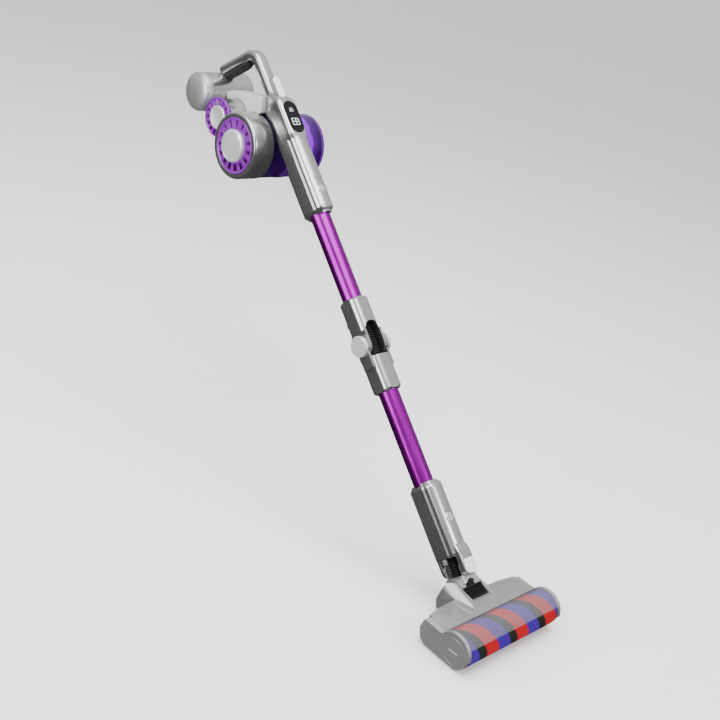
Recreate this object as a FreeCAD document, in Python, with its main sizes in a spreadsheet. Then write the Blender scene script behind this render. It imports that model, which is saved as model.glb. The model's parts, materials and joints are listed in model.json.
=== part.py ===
import FreeCAD, Part

import math
import os
import re

import Sketcher

# Cordless stick vacuum. Row frame: X across the floor head, -Y the way the head points, +Z up, the origin
# on the floor under the felt strip of the head. The wand leans back from the neck pivot. Everything above
# that pivot is built in wand coordinates, x across, y to the rear, z along the wand from the pivot, and is
# then leaned back by wand_tilt.

SIZES = {
    # clearances
    "fit_gap": 0.1, "run_gap": 0.4, "shaft_gap": 0.05, "press_gap": 0.02,
    # wand pose and tubes
    "wand_tilt": 48.56, "pivot_y": 42, "pivot_z": 50,
    "tube_radius": 18.5, "tube_wall": 1.3, "tube_seat": 38,
    "lower_tube_show": 174, "upper_tube_show": 169,
    # connector over the floor head
    "swivel_height": 34, "swivel_pin_radius": 4, "connector_low": 55, "connector_length": 135,
    "side_half": 21, "front_depth": 29, "rear_depth": 28, "duct_radius": 16.5, "end_radius": 22,
    "rear_flat": 13, "rear_shoulder": 17, "front_shoulder": 12, "strip": 3.2, "front_round": 12,
    "rear_round": 4, "slit": 1.2, "slit_top": 72, "arm_drop": 17.5, "arm_round": 11,
    "cap_round": 9, "rear_arm_half": 12, "cap_thin": 1.6, "button_s": 120,
    "arm_half": 15, "arm_thick": 12, "arm_gap": 21.6, "rear_arm_thick": 7,
    "button_radius": 8.6, "button_proud": 1.2, "button_depth": 6, "button_travel": 1.8,
    # elbow
    "elbow_drop": 90, "elbow_rise": 88, "elbow_half": 21, "elbow_depth": 23, "elbow_round": 13,
    "elbow_axis_y": -2, "lug_radius": 19, "lug_thick": 4.8, "elbow_clear": 24, "hinge_pin_radius": 5,
    "hinge_cap_radius": 19.2, "hinge_cap_thick": 6.5, "hose_radius": 13.5, "hose_wall": 1.2,
    "hose_pitch": 5.2, "hose_ridge": 1.9,
    # handheld neck, display and handle
    "neck_length": 234, "display_half": 16, "display_length": 66, "display_low": 158,
    "display_thick": 5, "power_low": 235, "power_length": 46, "power_half": 8.5, "power_block": 10,
    "strut_half": 12, "strut_depth": 9.5, "strut_round": 7, "strut_y": -1, "strut_rise": 92,
    "bend_radius": 24,
    "grip_length": 90, "grip_rise": 14, "grip_pad_depth": 12, "grip_pad_half": 10.5,
    # drum, dust cup, rear pod and battery, measured from the neck's lower end
    "drum_s": 195.5, "drum_y": 84.7, "drum_radius": 62.5, "drum_wall": 2.4, "drum_left": 61,
    "drum_right": 15, "ring_radius": "=drum_radius - 10.1", "ring_thick": 4, "cap_radius": "=ring_radius - 21.4",
    "cap_proud": 8, "ring_windows": 15, "cup_radius": "=drum_radius - 1.5",
    "cup_wall": 2.2, "cup_length": 122, "lid_thick": 8,
    "motor_radius": 25, "motor_length": 18, "fan_radius": 22, "fan_shaft": 2.5, "filter_depth": 30,
    "cone_radius": 30, "pod_s": 265, "pod_y": 100.5, "pod_radius": 37.5, "pod_left": 60, "pod_right": 40,
    "pod_wall": 2, "battery_radius": 37, "battery_s": "=pod_s + pod_radius + battery_radius - 0.5",
    "battery_y": 128, "battery_left": 48,
    "battery_right": 50, "battery_wall": 2.4, "battery_collar": 12, "dome_depth": 9,
    "cell_radius": 9.2, "cell_length": 65, "bridge_half": 19,
    # neck yoke
    "barrel_radius": 17, "barrel_half": 22, "yoke_half": 17, "yoke_depth": 21, "yoke_base": 20,
    "ear_radius": 11, "ear_thick": 4.5, "pivot_pin_radius": 5,
    # floor head
    "head_half": 125, "end_cap_thick": 12, "nose_thick": 7, "roller_y": -50.4,
    "roller_radius": 31.3, "pile_depth": 7,
    "roller_wall": 3, "roller_gap": 0.9, "hood_radius": "=roller_radius + 2.7",
    "hood_wall": 1.8, "cover_wall": 2.4,
    "lock_cap_radius": 23, "lock_cap_thick": 3, "lock_cap_seat": 3.2, "motor_start": 20, "shaft_radius": 4,
    "cheek_in": 23, "cheek_out": 38,
    "wheel_radius": 8, "wheel_width": 10, "wheel_y": 17, "wheel_x": 70, "axle_radius": 2,
    "felt_half": 100, "felt_width": 8, "felt_height": 5, "brush_motor_radius": "=roller_radius - 12.3",
    "cover_front": -28, "cover_rear": 32, "head_top": 50, "head_split": 20, "sole_height": 3.5,
    "cheek_round": 8, "recess": 1.6, "hood_low": 31,
    "spine_half": 9, "relief_low": 46, "shoulder_rise": 22, "power_round": 6, "pad_round": 7,
    "hinge_rise": 5, "socket_radius": 2.75, "socket_length": 11,
    "lever_gap": 2.4, "apron_front": 11, "apron_half": 22,
}

# places worked out from the sizes above
STATIONS = {
    "swivel_s": "swivel_height",
    "connector_top": "connector_low + connector_length",
    "elbow_bottom": "connector_low + connector_length + lower_tube_show",
    "elbow_s": "connector_low + connector_length + lower_tube_show + elbow_drop",
    "elbow_top": "connector_low + connector_length + lower_tube_show + elbow_drop + elbow_rise",
    "neck_low": "connector_low + connector_length + lower_tube_show + elbow_drop + elbow_rise"
                " + upper_tube_show",
}

doc = FreeCAD.newDocument("stick_vacuum")
sheet = doc.addObject("Spreadsheet::Sheet", "Sizes")
for line, (alias, value) in enumerate(SIZES.items(), 1):
    sheet.set(f"A{line}", alias)
    sheet.set(f"B{line}", str(value))
    sheet.setAlias(f"B{line}", alias)
doc.recompute()


def full_names(text):
    """The expression with the owner's name put before each size or station."""

    def owner(match):
        word = match.group(0)
        if word in SIZES:
            return "Sizes." + word
        return "Stations." + word if word in STATIONS else word

    return re.sub(r"[a-z][a-z_0-9]*", owner, str(text))


def bind(thing, path, text):
    thing.setExpression(path, full_names(text))


stations = doc.addObject("App::VarSet", "Stations")
for word, text in STATIONS.items():
    stations.addProperty("App::PropertyFloat", word)
    bind(stations, word, text)
doc.recompute()


def size(word):
    """A size or station as a number."""
    return float(getattr(stations, word) if word in STATIONS else sheet.get(word))


TILT = math.radians(size("wand_tilt"))
V = FreeCAD.Vector
TURNS = {
    "x": FreeCAD.Rotation(V(0, 1, 0), 90),
    "y": FreeCAD.Rotation(V(1, 0, 0), -90),
    "z": FreeCAD.Rotation(),
}
parts = []


# ---- building blocks -------------------------------------------------------------------------------


def box(x, y, z):
    """A block between a low and a high expression on each axis."""
    block = doc.addObject("Part::Box", "block")
    for side, name, (low, high) in zip(("Length", "Width", "Height"), "xyz", (x, y, z)):
        bind(block, side, f"({high}) - ({low})")
        bind(block, f"Placement.Base.{name}", low)
    return block


def rod(axis, radius, low, high, first="0", second="0"):
    """A cylinder along an axis; first and second place it on the other two axes, in X, Y, Z order."""
    round_bar = doc.addObject("Part::Cylinder", "rod")
    bind(round_bar, "Radius", radius)
    bind(round_bar, "Height", f"({high}) - ({low})")
    round_bar.Placement.Rotation = TURNS[axis]
    place(round_bar, axis, low, first, second)
    return round_bar


def cone(axis, radius_low, radius_high, low, high, first="0", second="0"):
    """A cone frustum placed as rod() places a cylinder."""
    frustum = doc.addObject("Part::Cone", "cone")
    bind(frustum, "Radius1", radius_low)
    bind(frustum, "Radius2", radius_high)
    bind(frustum, "Height", f"({high}) - ({low})")
    frustum.Placement.Rotation = TURNS[axis]
    place(frustum, axis, low, first, second)
    return frustum


def place(thing, axis, low, first, second):
    others = [name for name in "xyz" if name != axis]
    bind(thing, f"Placement.Base.{axis}", low)
    bind(thing, f"Placement.Base.{others[0]}", first)
    bind(thing, f"Placement.Base.{others[1]}", second)


def fuse(*things):
    joined = doc.addObject("Part::MultiFuse", "joined")
    joined.Shapes = list(things)
    joined.Refine = True
    return joined


def cut(base, *tools):
    left = doc.addObject("Part::Cut", "cut")
    left.Base = base
    left.Tool = tools[0] if len(tools) == 1 else fuse(*tools)
    left.Refine = True
    return left


def common(first, second):
    shared = doc.addObject("Part::Common", "shared")
    shared.Base = first
    shared.Tool = second
    shared.Refine = True
    return shared


def origin_plane(body, role):
    return next(o for o in body.Origin.OriginFeatures if o.Role == role)


def polygon_sketch(body, plane, points, offset):
    """A closed outline whose corners are each bound to a pair of expressions."""
    sketch = body.newObject("Sketcher::SketchObject", "outline")
    sketch.AttachmentSupport = [(origin_plane(body, plane), "")]
    sketch.MapMode = "FlatFace"
    bind(sketch, "AttachmentOffset.Base.z", offset)
    count = len(points)
    ring = [V(50 * math.cos(6.283 * i / count), 50 * math.sin(6.283 * i / count), 0) for i in range(count)]
    for i in range(count):
        sketch.addGeometry(Part.LineSegment(ring[i], ring[(i + 1) % count]), False)
    for i in range(count):
        sketch.addConstraint(Sketcher.Constraint("Coincident", i, 2, (i + 1) % count, 1))
    for i, corner in enumerate(points):
        for kind, text, axis_line in (("DistanceX", corner[0], -2), ("DistanceY", corner[1], -1)):
            if str(text) == "0":
                sketch.addConstraint(Sketcher.Constraint("PointOnObject", i, 1, axis_line))
                continue
            index = sketch.addConstraint(Sketcher.Constraint(kind, i, 1, 10.0))
            bind(sketch, f"Constraints[{index}]", text)
    return sketch


def outline(plane, points, low, high):
    """A padded outline. A point is (u, v) or (u, v, radius), the radius rounding that corner."""
    body = doc.addObject("PartDesign::Body", "outline_body")
    sketch = polygon_sketch(body, plane, [p[:2] for p in points], low)
    pad = body.newObject("PartDesign::Pad", "pad")
    pad.Profile = sketch
    bind(pad, "Length", f"({high}) - ({low})")
    doc.recompute()
    turn = sketch.Placement
    normal = turn.Rotation.multVec(V(0, 0, 1))
    for radius in dict.fromkeys(p[2] for p in points if len(p) == 3):
        corners = [turn.multVec(sketch.getPoint(i, 1)) for i, p in enumerate(points) if p[2:] == (radius,)]
        whole = body.Tip
        names = [
            f"Edge{number}"
            for number, edge in enumerate(whole.Shape.Edges, 1)
            if len(edge.Vertexes) == 2
            and any(
                all((v.Point - corner).cross(normal).Length < 0.01 for v in edge.Vertexes)
                for corner in corners
            )
        ]
        rounded = body.newObject("PartDesign::Fillet", "round")
        rounded.Base = (whole, names)
        bind(rounded, "Radius", radius)
        body.Tip = rounded
        doc.recompute()
    return body


def turned(points, start="0", axis="x", first="0", second="0"):
    """A body of revolution about an axis. A point is (along, radius)."""
    body = doc.addObject("PartDesign::Body", "turned_body")
    sketch = polygon_sketch(body, "XY_Plane", points, "0")
    spin = body.newObject("PartDesign::Revolution", "revolution")
    spin.Profile = sketch
    spin.ReferenceAxis = (sketch, ["H_Axis"])
    spin.Angle = 360
    rest = {
        "x": FreeCAD.Rotation(),
        "y": FreeCAD.Rotation(V(0, 0, 1), 90),
        "z": FreeCAD.Rotation(V(0, 1, 0), -90),
    }
    body.Placement.Rotation = rest[axis]
    place(body, axis, start, first, second)
    return body


def soften(thing, radius, wanted):
    """Round the edges for which wanted(edge) is true."""
    doc.recompute()
    picked = [number for number, edge in enumerate(thing.Shape.Edges, 1) if wanted(edge)]
    smooth = doc.addObject("Part::Fillet", "soft")
    smooth.Base = thing
    smooth.Edges = [(number, size(radius), size(radius)) for number in picked]
    return smooth


WAND = FreeCAD.Placement(
    V(0, size("pivot_y"), size("pivot_z")), FreeCAD.Rotation(V(1, 0, 0), -size("wand_tilt"))
)
FLOOR = FreeCAD.Placement()


def keep(name, thing, frame):
    """Name a finished piece and put it in its frame."""
    if any(path.lstrip(".").startswith("Placement") for path, _ in thing.ExpressionEngine):
        holder = doc.addObject("Part::Compound", name)
        holder.Links = [thing]
        thing = holder
    thing.Placement = frame
    thing.Label = name
    parts.append(thing)
    return thing


def feature(name, shape, frame):
    thing = doc.addObject("Part::Feature", name)
    thing.Shape = shape
    thing.Placement = frame
    thing.Label = name
    parts.append(thing)
    return thing


def hose_shape(low, high, radius):
    """A corrugated tube along z: ridges of the hose's pitch on a thin wall."""
    ridge, wall = size("hose_ridge"), size("hose_wall")
    count = max(2, int((high - low) / size("hose_pitch")))
    pitch = (high - low) / count
    outer = [V(radius - ridge, 0, low)]
    for i in range(count):
        base = low + i * pitch
        outer += [V(radius - ridge, 0, base + 0.2 * pitch), V(radius, 0, base + 0.4 * pitch)]
        outer += [V(radius, 0, base + 0.7 * pitch), V(radius - ridge, 0, base + 0.9 * pitch)]
    outer.append(V(radius - ridge, 0, high))
    inner = [V(radius - ridge - wall, 0, high), V(radius - ridge - wall, 0, low)]
    ring = Part.makePolygon(outer + inner + [outer[0]])
    return Part.Face(ring).revolve(V(0, 0, 0), V(0, 0, 1), 360)


# ---- shapes used more than once --------------------------------------------------------------------

NECK_TOP = "(neck_low + neck_length)"
DRUM_S = "(neck_low + drum_s)"
POD_S = "(neck_low + pod_s)"
BATTERY_S = "(neck_low + battery_s)"


def both_sides(build):
    """A pair of pieces: build("") for the +X side and build("-1") for the -X side."""
    return [build("1"), build("-1")]


def side_span(side, near, far):
    """A low and a high expression across X on one side of the middle."""
    return (f"{near}", f"{far}") if side == "1" else (f"-({far})", f"-({near})")


def shell_section(low, high):
    """The neck and connector section: flat sides with a narrow strip, a bulged front, a flat rear."""
    half = [
        ("rear_flat", "rear_depth", "rear_round"),
        ("side_half", "rear_shoulder"),
        ("side_half", "-front_shoulder"),
        ("side_half - strip", "-(front_shoulder + strip)"),
        ("side_half - strip", "-front_depth", "front_round"),
    ]
    other = [(f"-({p[0]})", *p[1:]) for p in reversed(half)]
    return outline("XY_Plane", half + other, low, high)


def rounded_block(half_x, half_y, radius, low, high):
    corners = [(half_x, half_y), (half_x, f"-({half_y})"), (f"-({half_x})", f"-({half_y})")]
    corners.append((f"-({half_x})", half_y))
    return outline("XY_Plane", [(*corner, radius) for corner in corners], low, high)


def end_cone(end, direction):
    """A long cone that takes the outer edge off one end of a shell and clears the rest."""
    reach = "260"
    if direction > 0:
        return cone("z", "end_radius", f"end_radius + {reach}", end, f"{end} + {reach}")
    return cone("z", f"end_radius + {reach}", "end_radius", f"{end} - {reach}", end)


def tube(low, high):
    return cut(
        rod("z", "tube_radius", low, high),
        rod("z", "tube_radius - tube_wall", f"{low} - 1", f"{high} + 1"),
    )


def ring(axis, outer, inner, low, high, first="0", second="0"):
    return cut(
        rod(axis, outer, low, high, first, second),
        rod(axis, inner, f"{low} - 1", f"{high} + 1", first, second),
    )


def stadium(half, length, middle_s, low, high):
    """A long hole's shape through Y: half wide each side of X, length along Z about middle_s."""
    run = f"(({length}) / 2 - ({half}))"
    return fuse(
        box((f"-({half})", half), (low, high), (f"{middle_s} - {run}", f"{middle_s} + {run}")),
        rod("y", half, low, high, "0", f"{middle_s} + {run}"),
        rod("y", half, low, high, "0", f"{middle_s} - {run}"),
    )


def vent_ring(outer, inner, low, high, axis_y, axis_s):
    """A flat ring with a circle of windows, for the exhaust grilles."""
    body = doc.addObject("PartDesign::Body", "vent_body")
    plate = body.newObject("Sketcher::SketchObject", "plate")
    plate.AttachmentSupport = [(origin_plane(body, "YZ_Plane"), "")]
    plate.MapMode = "FlatFace"
    for radius in (outer, inner):
        index = plate.addGeometry(Part.Circle(V(0, 0, 0), V(0, 0, 1), 20), False)
        plate.addConstraint(Sketcher.Constraint("Coincident", index, 3, -1, 1))
        bound = plate.addConstraint(Sketcher.Constraint("Radius", index, 20))
        bind(plate, f"Constraints[{bound}]", radius)
    pad = body.newObject("PartDesign::Pad", "pad")
    pad.Profile = plate
    bind(pad, "Length", f"({high}) - ({low})")
    doc.recompute()
    band = f"(({outer}) - ({inner}))"
    reach = [f"({inner}) + 0.22 * {band}", f"({inner}) + 0.8 * {band}"]
    half_turn = f"(150 / ring_windows)"
    corners = [(f"({r}) * cos({s}{half_turn})", f"({r}) * sin({s}{half_turn})") for r, s in
               ((reach[0], "-"), (reach[1], "-"), (reach[1], ""), (reach[0], ""))]
    window = polygon_sketch(body, "YZ_Plane", corners, "0")
    pocket = body.newObject("PartDesign::Pocket", "window")
    pocket.Profile = window
    pocket.Type = "ThroughAll"
    pocket.Midplane = True
    pattern = body.newObject("PartDesign::PolarPattern", "windows")
    pattern.Originals = [pocket]
    pattern.Axis = (plate, ["N_Axis"])
    pattern.Angle = 360
    bind(pattern, "Occurrences", "ring_windows")
    body.Tip = pattern
    place(body, "x", low, axis_y, axis_s)
    return body


# ---- wand: tubes, connector, neck shell ------------------------------------------------------------

TUBE_HOLE = "tube_radius + fit_gap"


def connector():
    top, low = "connector_top", "connector_low"
    body = common(shell_section(low, top), end_cone(top, -1))
    front_face = "-(arm_gap + arm_thick)"
    front = common(
        outline("YZ_Plane", [
            ("-arm_gap", "swivel_s - arm_drop"), (front_face, "swivel_s - arm_drop", "rear_round"),
            (front_face, "swivel_s + 20"), ("-(front_depth - 2)", "slit_top + 8"), ("-arm_gap", "slit_top + 8"),
        ], "-arm_half", "arm_half"),
        outline("XZ_Plane", [
            ("-arm_half", "swivel_s - arm_drop", "arm_round"), ("-arm_half", "slit_top + 8"),
            ("arm_half", "slit_top + 8"), ("arm_half", "swivel_s - arm_drop", "arm_round"),
        ], "0", "60"))
    rear_y = ("arm_gap", "arm_gap + rear_arm_thick")
    rear = fuse(
        box(("-rear_arm_half", "rear_arm_half"), rear_y, ("swivel_s", f"{low} + 8")),
        rod("y", "rear_arm_half", *rear_y, "0", "swivel_s"),
    )
    keep("connector_shell", cut(
        fuse(body, front, rear),
        rod("z", TUBE_HOLE, f"{top} - tube_seat - fit_gap", f"{top} + 1"),
        rod("z", "duct_radius", f"{low} - 1", f"{top} - tube_seat + 1"),
        box(("-side_half - 2", "side_half + 2"), ("-arm_gap", "-arm_gap + slit"), (f"{low} - 1", "slit_top")),
        rod("y", "swivel_pin_radius + press_gap", "-60", "60", "0", "swivel_s"),
        rod("y", "button_radius + run_gap", "-60", "-(front_depth - button_depth - button_travel - 1)",
            "0", "button_s"),
    ), WAND)
    keep("swivel_cap", outline("XZ_Plane", [
        ("-(arm_half - 2)", "swivel_s - arm_drop + 2.5", "cap_round"),
        ("-(arm_half - 2)", "swivel_s + 11", "rear_round"), ("arm_half - 2", "swivel_s + 11", "rear_round"),
        ("arm_half - 2", "swivel_s - arm_drop + 2.5", "cap_round"),
    ], "arm_gap + arm_thick + 0.02", "arm_gap + arm_thick + cap_thin"), WAND)
    keep("swivel_pins", fuse(
        rod("y", "swivel_pin_radius", f"{front_face} + 0.1", "-yoke_depth + ear_thick", "0", "swivel_s"),
        rod("y", "swivel_pin_radius", "yoke_depth - ear_thick", "arm_gap + rear_arm_thick", "0", "swivel_s"),
    ), WAND)
    push_button("head_release_button", "button_s")


def push_button(name, s):
    """A round button in the front of a shell, a little proud of it."""
    face = "-(front_depth + button_proud)"
    disc = turned([("0", "0"), ("0", "button_radius - 1"), ("1", "button_radius"),
                   ("button_proud + button_depth", "button_radius"), ("button_proud + button_depth", "0")],
                  face, "y", "0", s)
    keep(name, disc, WAND)


def flank_relief():
    """The room beside the spine where the drum stands clear of the neck's rear."""
    return [outline("YZ_Plane", [
        ("strut_y + strut_depth", f"{DRUM_S} - relief_low"), ("strut_y + strut_depth", f"{NECK_TOP} + 6"),
        ("60", f"{NECK_TOP} + 6"), ("60", f"{DRUM_S} - drum_radius - relief_low"),
        ("rear_depth + 0.5", f"{DRUM_S} - drum_radius - relief_low + 10"),
    ], *side_span(side, "spine_half", "side_half + 5")) for side in ("1", "-1")]


def neck():
    low = "neck_low"
    display_mid = f"(neck_low + display_low + display_length / 2)"
    body = common(shell_section(low, NECK_TOP), end_cone(low, 1))
    blunt_top = cone("z", "end_radius + 265", "end_radius + 5", f"{NECK_TOP} - 260", NECK_TOP)
    housing = outline("XY_Plane", [
        ("side_half + 1", "rear_depth - 4"), ("side_half + 1", "-(front_depth - 4)", "rear_round"),
        ("display_half + 1", "-front_depth"), ("-(display_half + 1)", "-front_depth"),
        ("-(side_half + 1)", "-(front_depth - 4)", "rear_round"), ("-(side_half + 1)", "rear_depth - 4"),
    ], f"{low} + display_low - 4", NECK_TOP)
    housing = common(common(housing, end_cone(f"({low} + display_low - 6)", 1)), blunt_top)
    keep("neck_shell", cut(
        fuse(common(body, blunt_top), housing),
        rod("z", TUBE_HOLE, f"{low} - 1", f"{low} + tube_seat + fit_gap"),
        rod("z", "duct_radius", low, f"{NECK_TOP} - 20"),
        rod("x", "drum_radius + fit_gap", "-100", "200", "drum_y", DRUM_S),
        *flank_relief(),
        stadium("display_half + fit_gap", "display_length + 2 * fit_gap", display_mid,
                "-(front_depth + 5)", "-(front_depth - display_thick)"),
        rod("y", "button_radius + run_gap - 1", "-60",
            "-(front_depth - button_depth - button_travel - 1)", "0", f"{low} + 43"),
    ), WAND)
    face = "-(front_depth + 0.8)"
    keep("display_bezel", cut(
        stadium("display_half", "display_length", display_mid, face, "-(front_depth - 2.4)"),
        stadium("display_half - 1.8", "display_length - 3.6", display_mid, f"{face} - 1",
                "-(front_depth - 0.6)"),
        box(("-display_half + 6", "display_half - 6"), ("-60", "0"),
            (f"{display_mid} - 20", f"{display_mid} + 20")),
    ), WAND)
    keep("display_window", stadium("display_half - 1.9", "display_length - 3.8", display_mid,
                                   f"{face} + 0.1", "-(front_depth - 0.5)"), WAND)
    keep("display_board", box(("-display_half + 4", "display_half - 4"),
                              ("-(front_depth - 2.6)", "-(front_depth - display_thick + 0.2)"),
                              (f"{display_mid} - 22", f"{display_mid} + 22")), WAND)
    disc = turned([("0", "0"), ("0", "button_radius - 2"), ("1", "button_radius - 1"),
                   ("button_proud + button_depth", "button_radius - 1"),
                   ("button_proud + button_depth", "0")],
                  "-(front_depth + button_proud)", "y", "0", f"{low} + 43")
    keep("wand_release_button", disc, WAND)


def handle():
    """The strut, its bend and the grip as one bar, with a shoulder that meets the neck."""
    start = size("neck_low") + size("neck_length") + 8
    bend_s = size("neck_low") + size("neck_length") + size("strut_rise")
    rise = math.radians(size("grip_rise"))
    half, depth, corner = size("strut_half"), size("strut_depth"), size("strut_round")
    section = Part.makeBox(2 * half, 2 * depth, 1, V(-half, -depth, 0))
    uprights = [e for e in section.Edges if abs(e.tangentAt(e.FirstParameter).z) > 0.9]
    section = section.makeFillet(corner, uprights)
    base = min(section.Faces, key=lambda f: f.CenterOfMass.z)
    base = base.translated(V(0, size("strut_y"), start))
    straight = base.extrude(V(0, 0, bend_s - start))
    top = base.translated(V(0, 0, bend_s - start))
    centre = V(0, size("strut_y") + size("bend_radius"), bend_s)
    turn = 90 - size("grip_rise")
    bend = top.revolve(centre, V(-1, 0, 0), turn)
    top = top.rotated(centre, V(-1, 0, 0), turn)
    grip = top.extrude(V(0, math.cos(rise), math.sin(rise)) * size("grip_length"))
    bar = doc.addObject("Part::Feature", "bar")
    bar.Shape = straight.fuse([bend, grip]).removeSplitter()
    shoulder = common(outline("YZ_Plane", [
        ("rear_depth - 4", f"{NECK_TOP} + 0.05"), ("strut_y + strut_depth", f"{NECK_TOP} + shoulder_rise"),
        ("strut_y - strut_depth", f"{NECK_TOP} + shoulder_rise"), ("strut_y - strut_depth", f"{NECK_TOP} + 12"),
        ("-front_depth + 2", f"{NECK_TOP} + 2"), ("-front_depth", f"{NECK_TOP} + 0.05"),
    ], "-(side_half + 1)", "side_half + 1"), outline("XZ_Plane", [
        ("side_half + 1", NECK_TOP), ("strut_half", f"{NECK_TOP} + shoulder_rise"),
        ("-strut_half", f"{NECK_TOP} + shoulder_rise"), ("-(side_half + 1)", NECK_TOP),
    ], "-60", "60"))
    drum_hole = rod("x", "drum_radius + fit_gap", "-100", "200", "drum_y", DRUM_S)
    battery_hole = rod("x", "battery_radius + fit_gap", "-100", "100", "battery_y", BATTERY_S)
    block_front = "strut_y - strut_depth - power_block"
    seat = box(("-power_half - fit_gap", "power_half + fit_gap"), ("-60", "strut_y - strut_depth + 4.1"),
               ("neck_low + power_low", POWER_TOP))
    keep("handle_frame", cut(fuse(bar, shoulder), drum_hole, battery_hole, seat, *flank_relief()), WAND)
    block = box(("-power_half", "power_half"), (block_front, "strut_y - strut_depth + 4"),
                ("neck_low + power_low + fit_gap", f"{POWER_TOP} - fit_gap"))
    well = box(("-(power_half - 1)", "power_half - 1"), (f"{block_front} - 1", f"{block_front} + 5"),
               ("neck_low + power_low + 1", f"{POWER_TOP} - 1"))
    keep("button_housing", cut(block, well), WAND)
    keep("power_button", soften(
        box(("-(power_half - 1.3)", "power_half - 1.3"), (f"{block_front} - 2", f"{block_front} + 2.6"),
            ("neck_low + power_low + 1.3", f"{POWER_TOP} - 1.3")),
        "power_round", lambda e: abs(e.tangentAt(e.FirstParameter).y) > 0.9), WAND)
    pad = doc.addObject("Part::Box", "pad")
    bind(pad, "Length", "2 * grip_pad_half")
    bind(pad, "Width", "grip_length - 4")
    bind(pad, "Height", "grip_pad_depth")
    start_y, start_s = top.CenterOfMass.y, top.CenterOfMass.z
    drop = size("strut_depth") + size("fit_gap") + size("grip_pad_depth")
    pad.Placement = FreeCAD.Placement(
        V(-size("grip_pad_half"), start_y + math.cos(rise) * 3 + drop * math.sin(rise),
          start_s + math.sin(rise) * 3 - drop * math.cos(rise)),
        FreeCAD.Rotation(V(1, 0, 0), size("grip_rise")))
    along = V(0, math.cos(rise), math.sin(rise))

    def low_edge(edge):
        """An edge that runs along the grip on the pad's underside."""
        height = (edge.CenterOfMass - V(0, start_y, start_s)).dot(V(0, -math.sin(rise), math.cos(rise)))
        return abs(edge.tangentAt(edge.FirstParameter).dot(along)) > 0.9 and height < -15

    keep("grip_pad", cut(soften(pad, "pad_round", low_edge), battery_hole), WAND)


POWER_TOP = "(neck_low + power_low + power_length)"


# ---- drum, dust cup, pod, battery ------------------------------------------------------------------


def around(y, s, points, start="0"):
    """A turned piece about an axis across the wand."""
    return turned(points, start, "x", y, s)


def drum():
    y, s = "drum_y", DRUM_S
    rim = "-(drum_left - ring_thick)"
    shell = cut(
        around(y, s, [("0", "0"), ("0", "drum_radius - 3"), ("3", "drum_radius"),
                      ("drum_left - drum_right", "drum_radius"), ("drum_left - drum_right", "0")],
               "-drum_left"),
        rod("x", "ring_radius + fit_gap", "-drum_left - 1", rim, y, s),
        rod("x", "drum_radius - drum_wall", rim, "-drum_right + 1", y, s),
    )
    bulkhead = ring("x", "drum_radius - 0.5", "15", "-drum_right - 3", "-drum_right", y, s)
    keep("drum_shell", fuse(shell, bulkhead), WAND)
    keep("exhaust_ring", vent_ring("ring_radius", "cap_radius + fit_gap", "-drum_left - 1",
                                   f"{rim} - 0.1", y, s), WAND)
    keep("drum_cap", around(y, s, [
        ("0", "0"), ("0", "cap_radius - 5"), ("2", "cap_radius - 1"), ("4", "cap_radius"),
        ("cap_proud + ring_thick", "cap_radius"), ("cap_proud + ring_thick", "0")],
        "-drum_left - cap_proud"), WAND)
    keep("hepa_filter", ring("x", "ring_radius - 2", "ring_radius - 16", f"{rim} + 0.3",
                             f"{rim} + 0.3 + filter_depth", y, s), WAND)
    motor_x = f"({rim} + 0.6)"
    keep("fan_motor", cut(
        rod("x", "motor_radius", motor_x, f"{motor_x} + motor_length", y, s),
        rod("x", "fan_shaft + shaft_gap", f"{motor_x} + 4", f"{motor_x} + motor_length + 1", y, s)), WAND)
    fan_x = f"({motor_x} + motor_length)"
    blades = [
        box(("0", "6"), ("-0.6", "0.6"), ("6", "fan_radius - 1")) for _ in range(9)
    ]
    for i, blade in enumerate(blades):
        blade.Placement.Rotation = FreeCAD.Rotation(V(1, 0, 0), 40 * i)
        for name in "xyz":
            blade.setExpression(f"Placement.Base.{name}", None)
        angle = math.radians(40 * i)
        blade.Placement.Base = V(2, 0.6 * -math.cos(angle) - 6 * math.sin(angle),
                                 -0.6 * math.sin(angle) + 6 * math.cos(angle))
    wheel = fuse(
        rod("x", "fan_shaft", "-motor_length + 5", "10"),
        rod("x", "7", "1", "9"),
        rod("x", "fan_radius", "1", "2.4"),
        *blades,
    )
    wheel.Placement.Base = V(0, 0, 0)
    place(wheel, "x", f"{fan_x} + 1", y, s)
    keep("fan", wheel, WAND)


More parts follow.
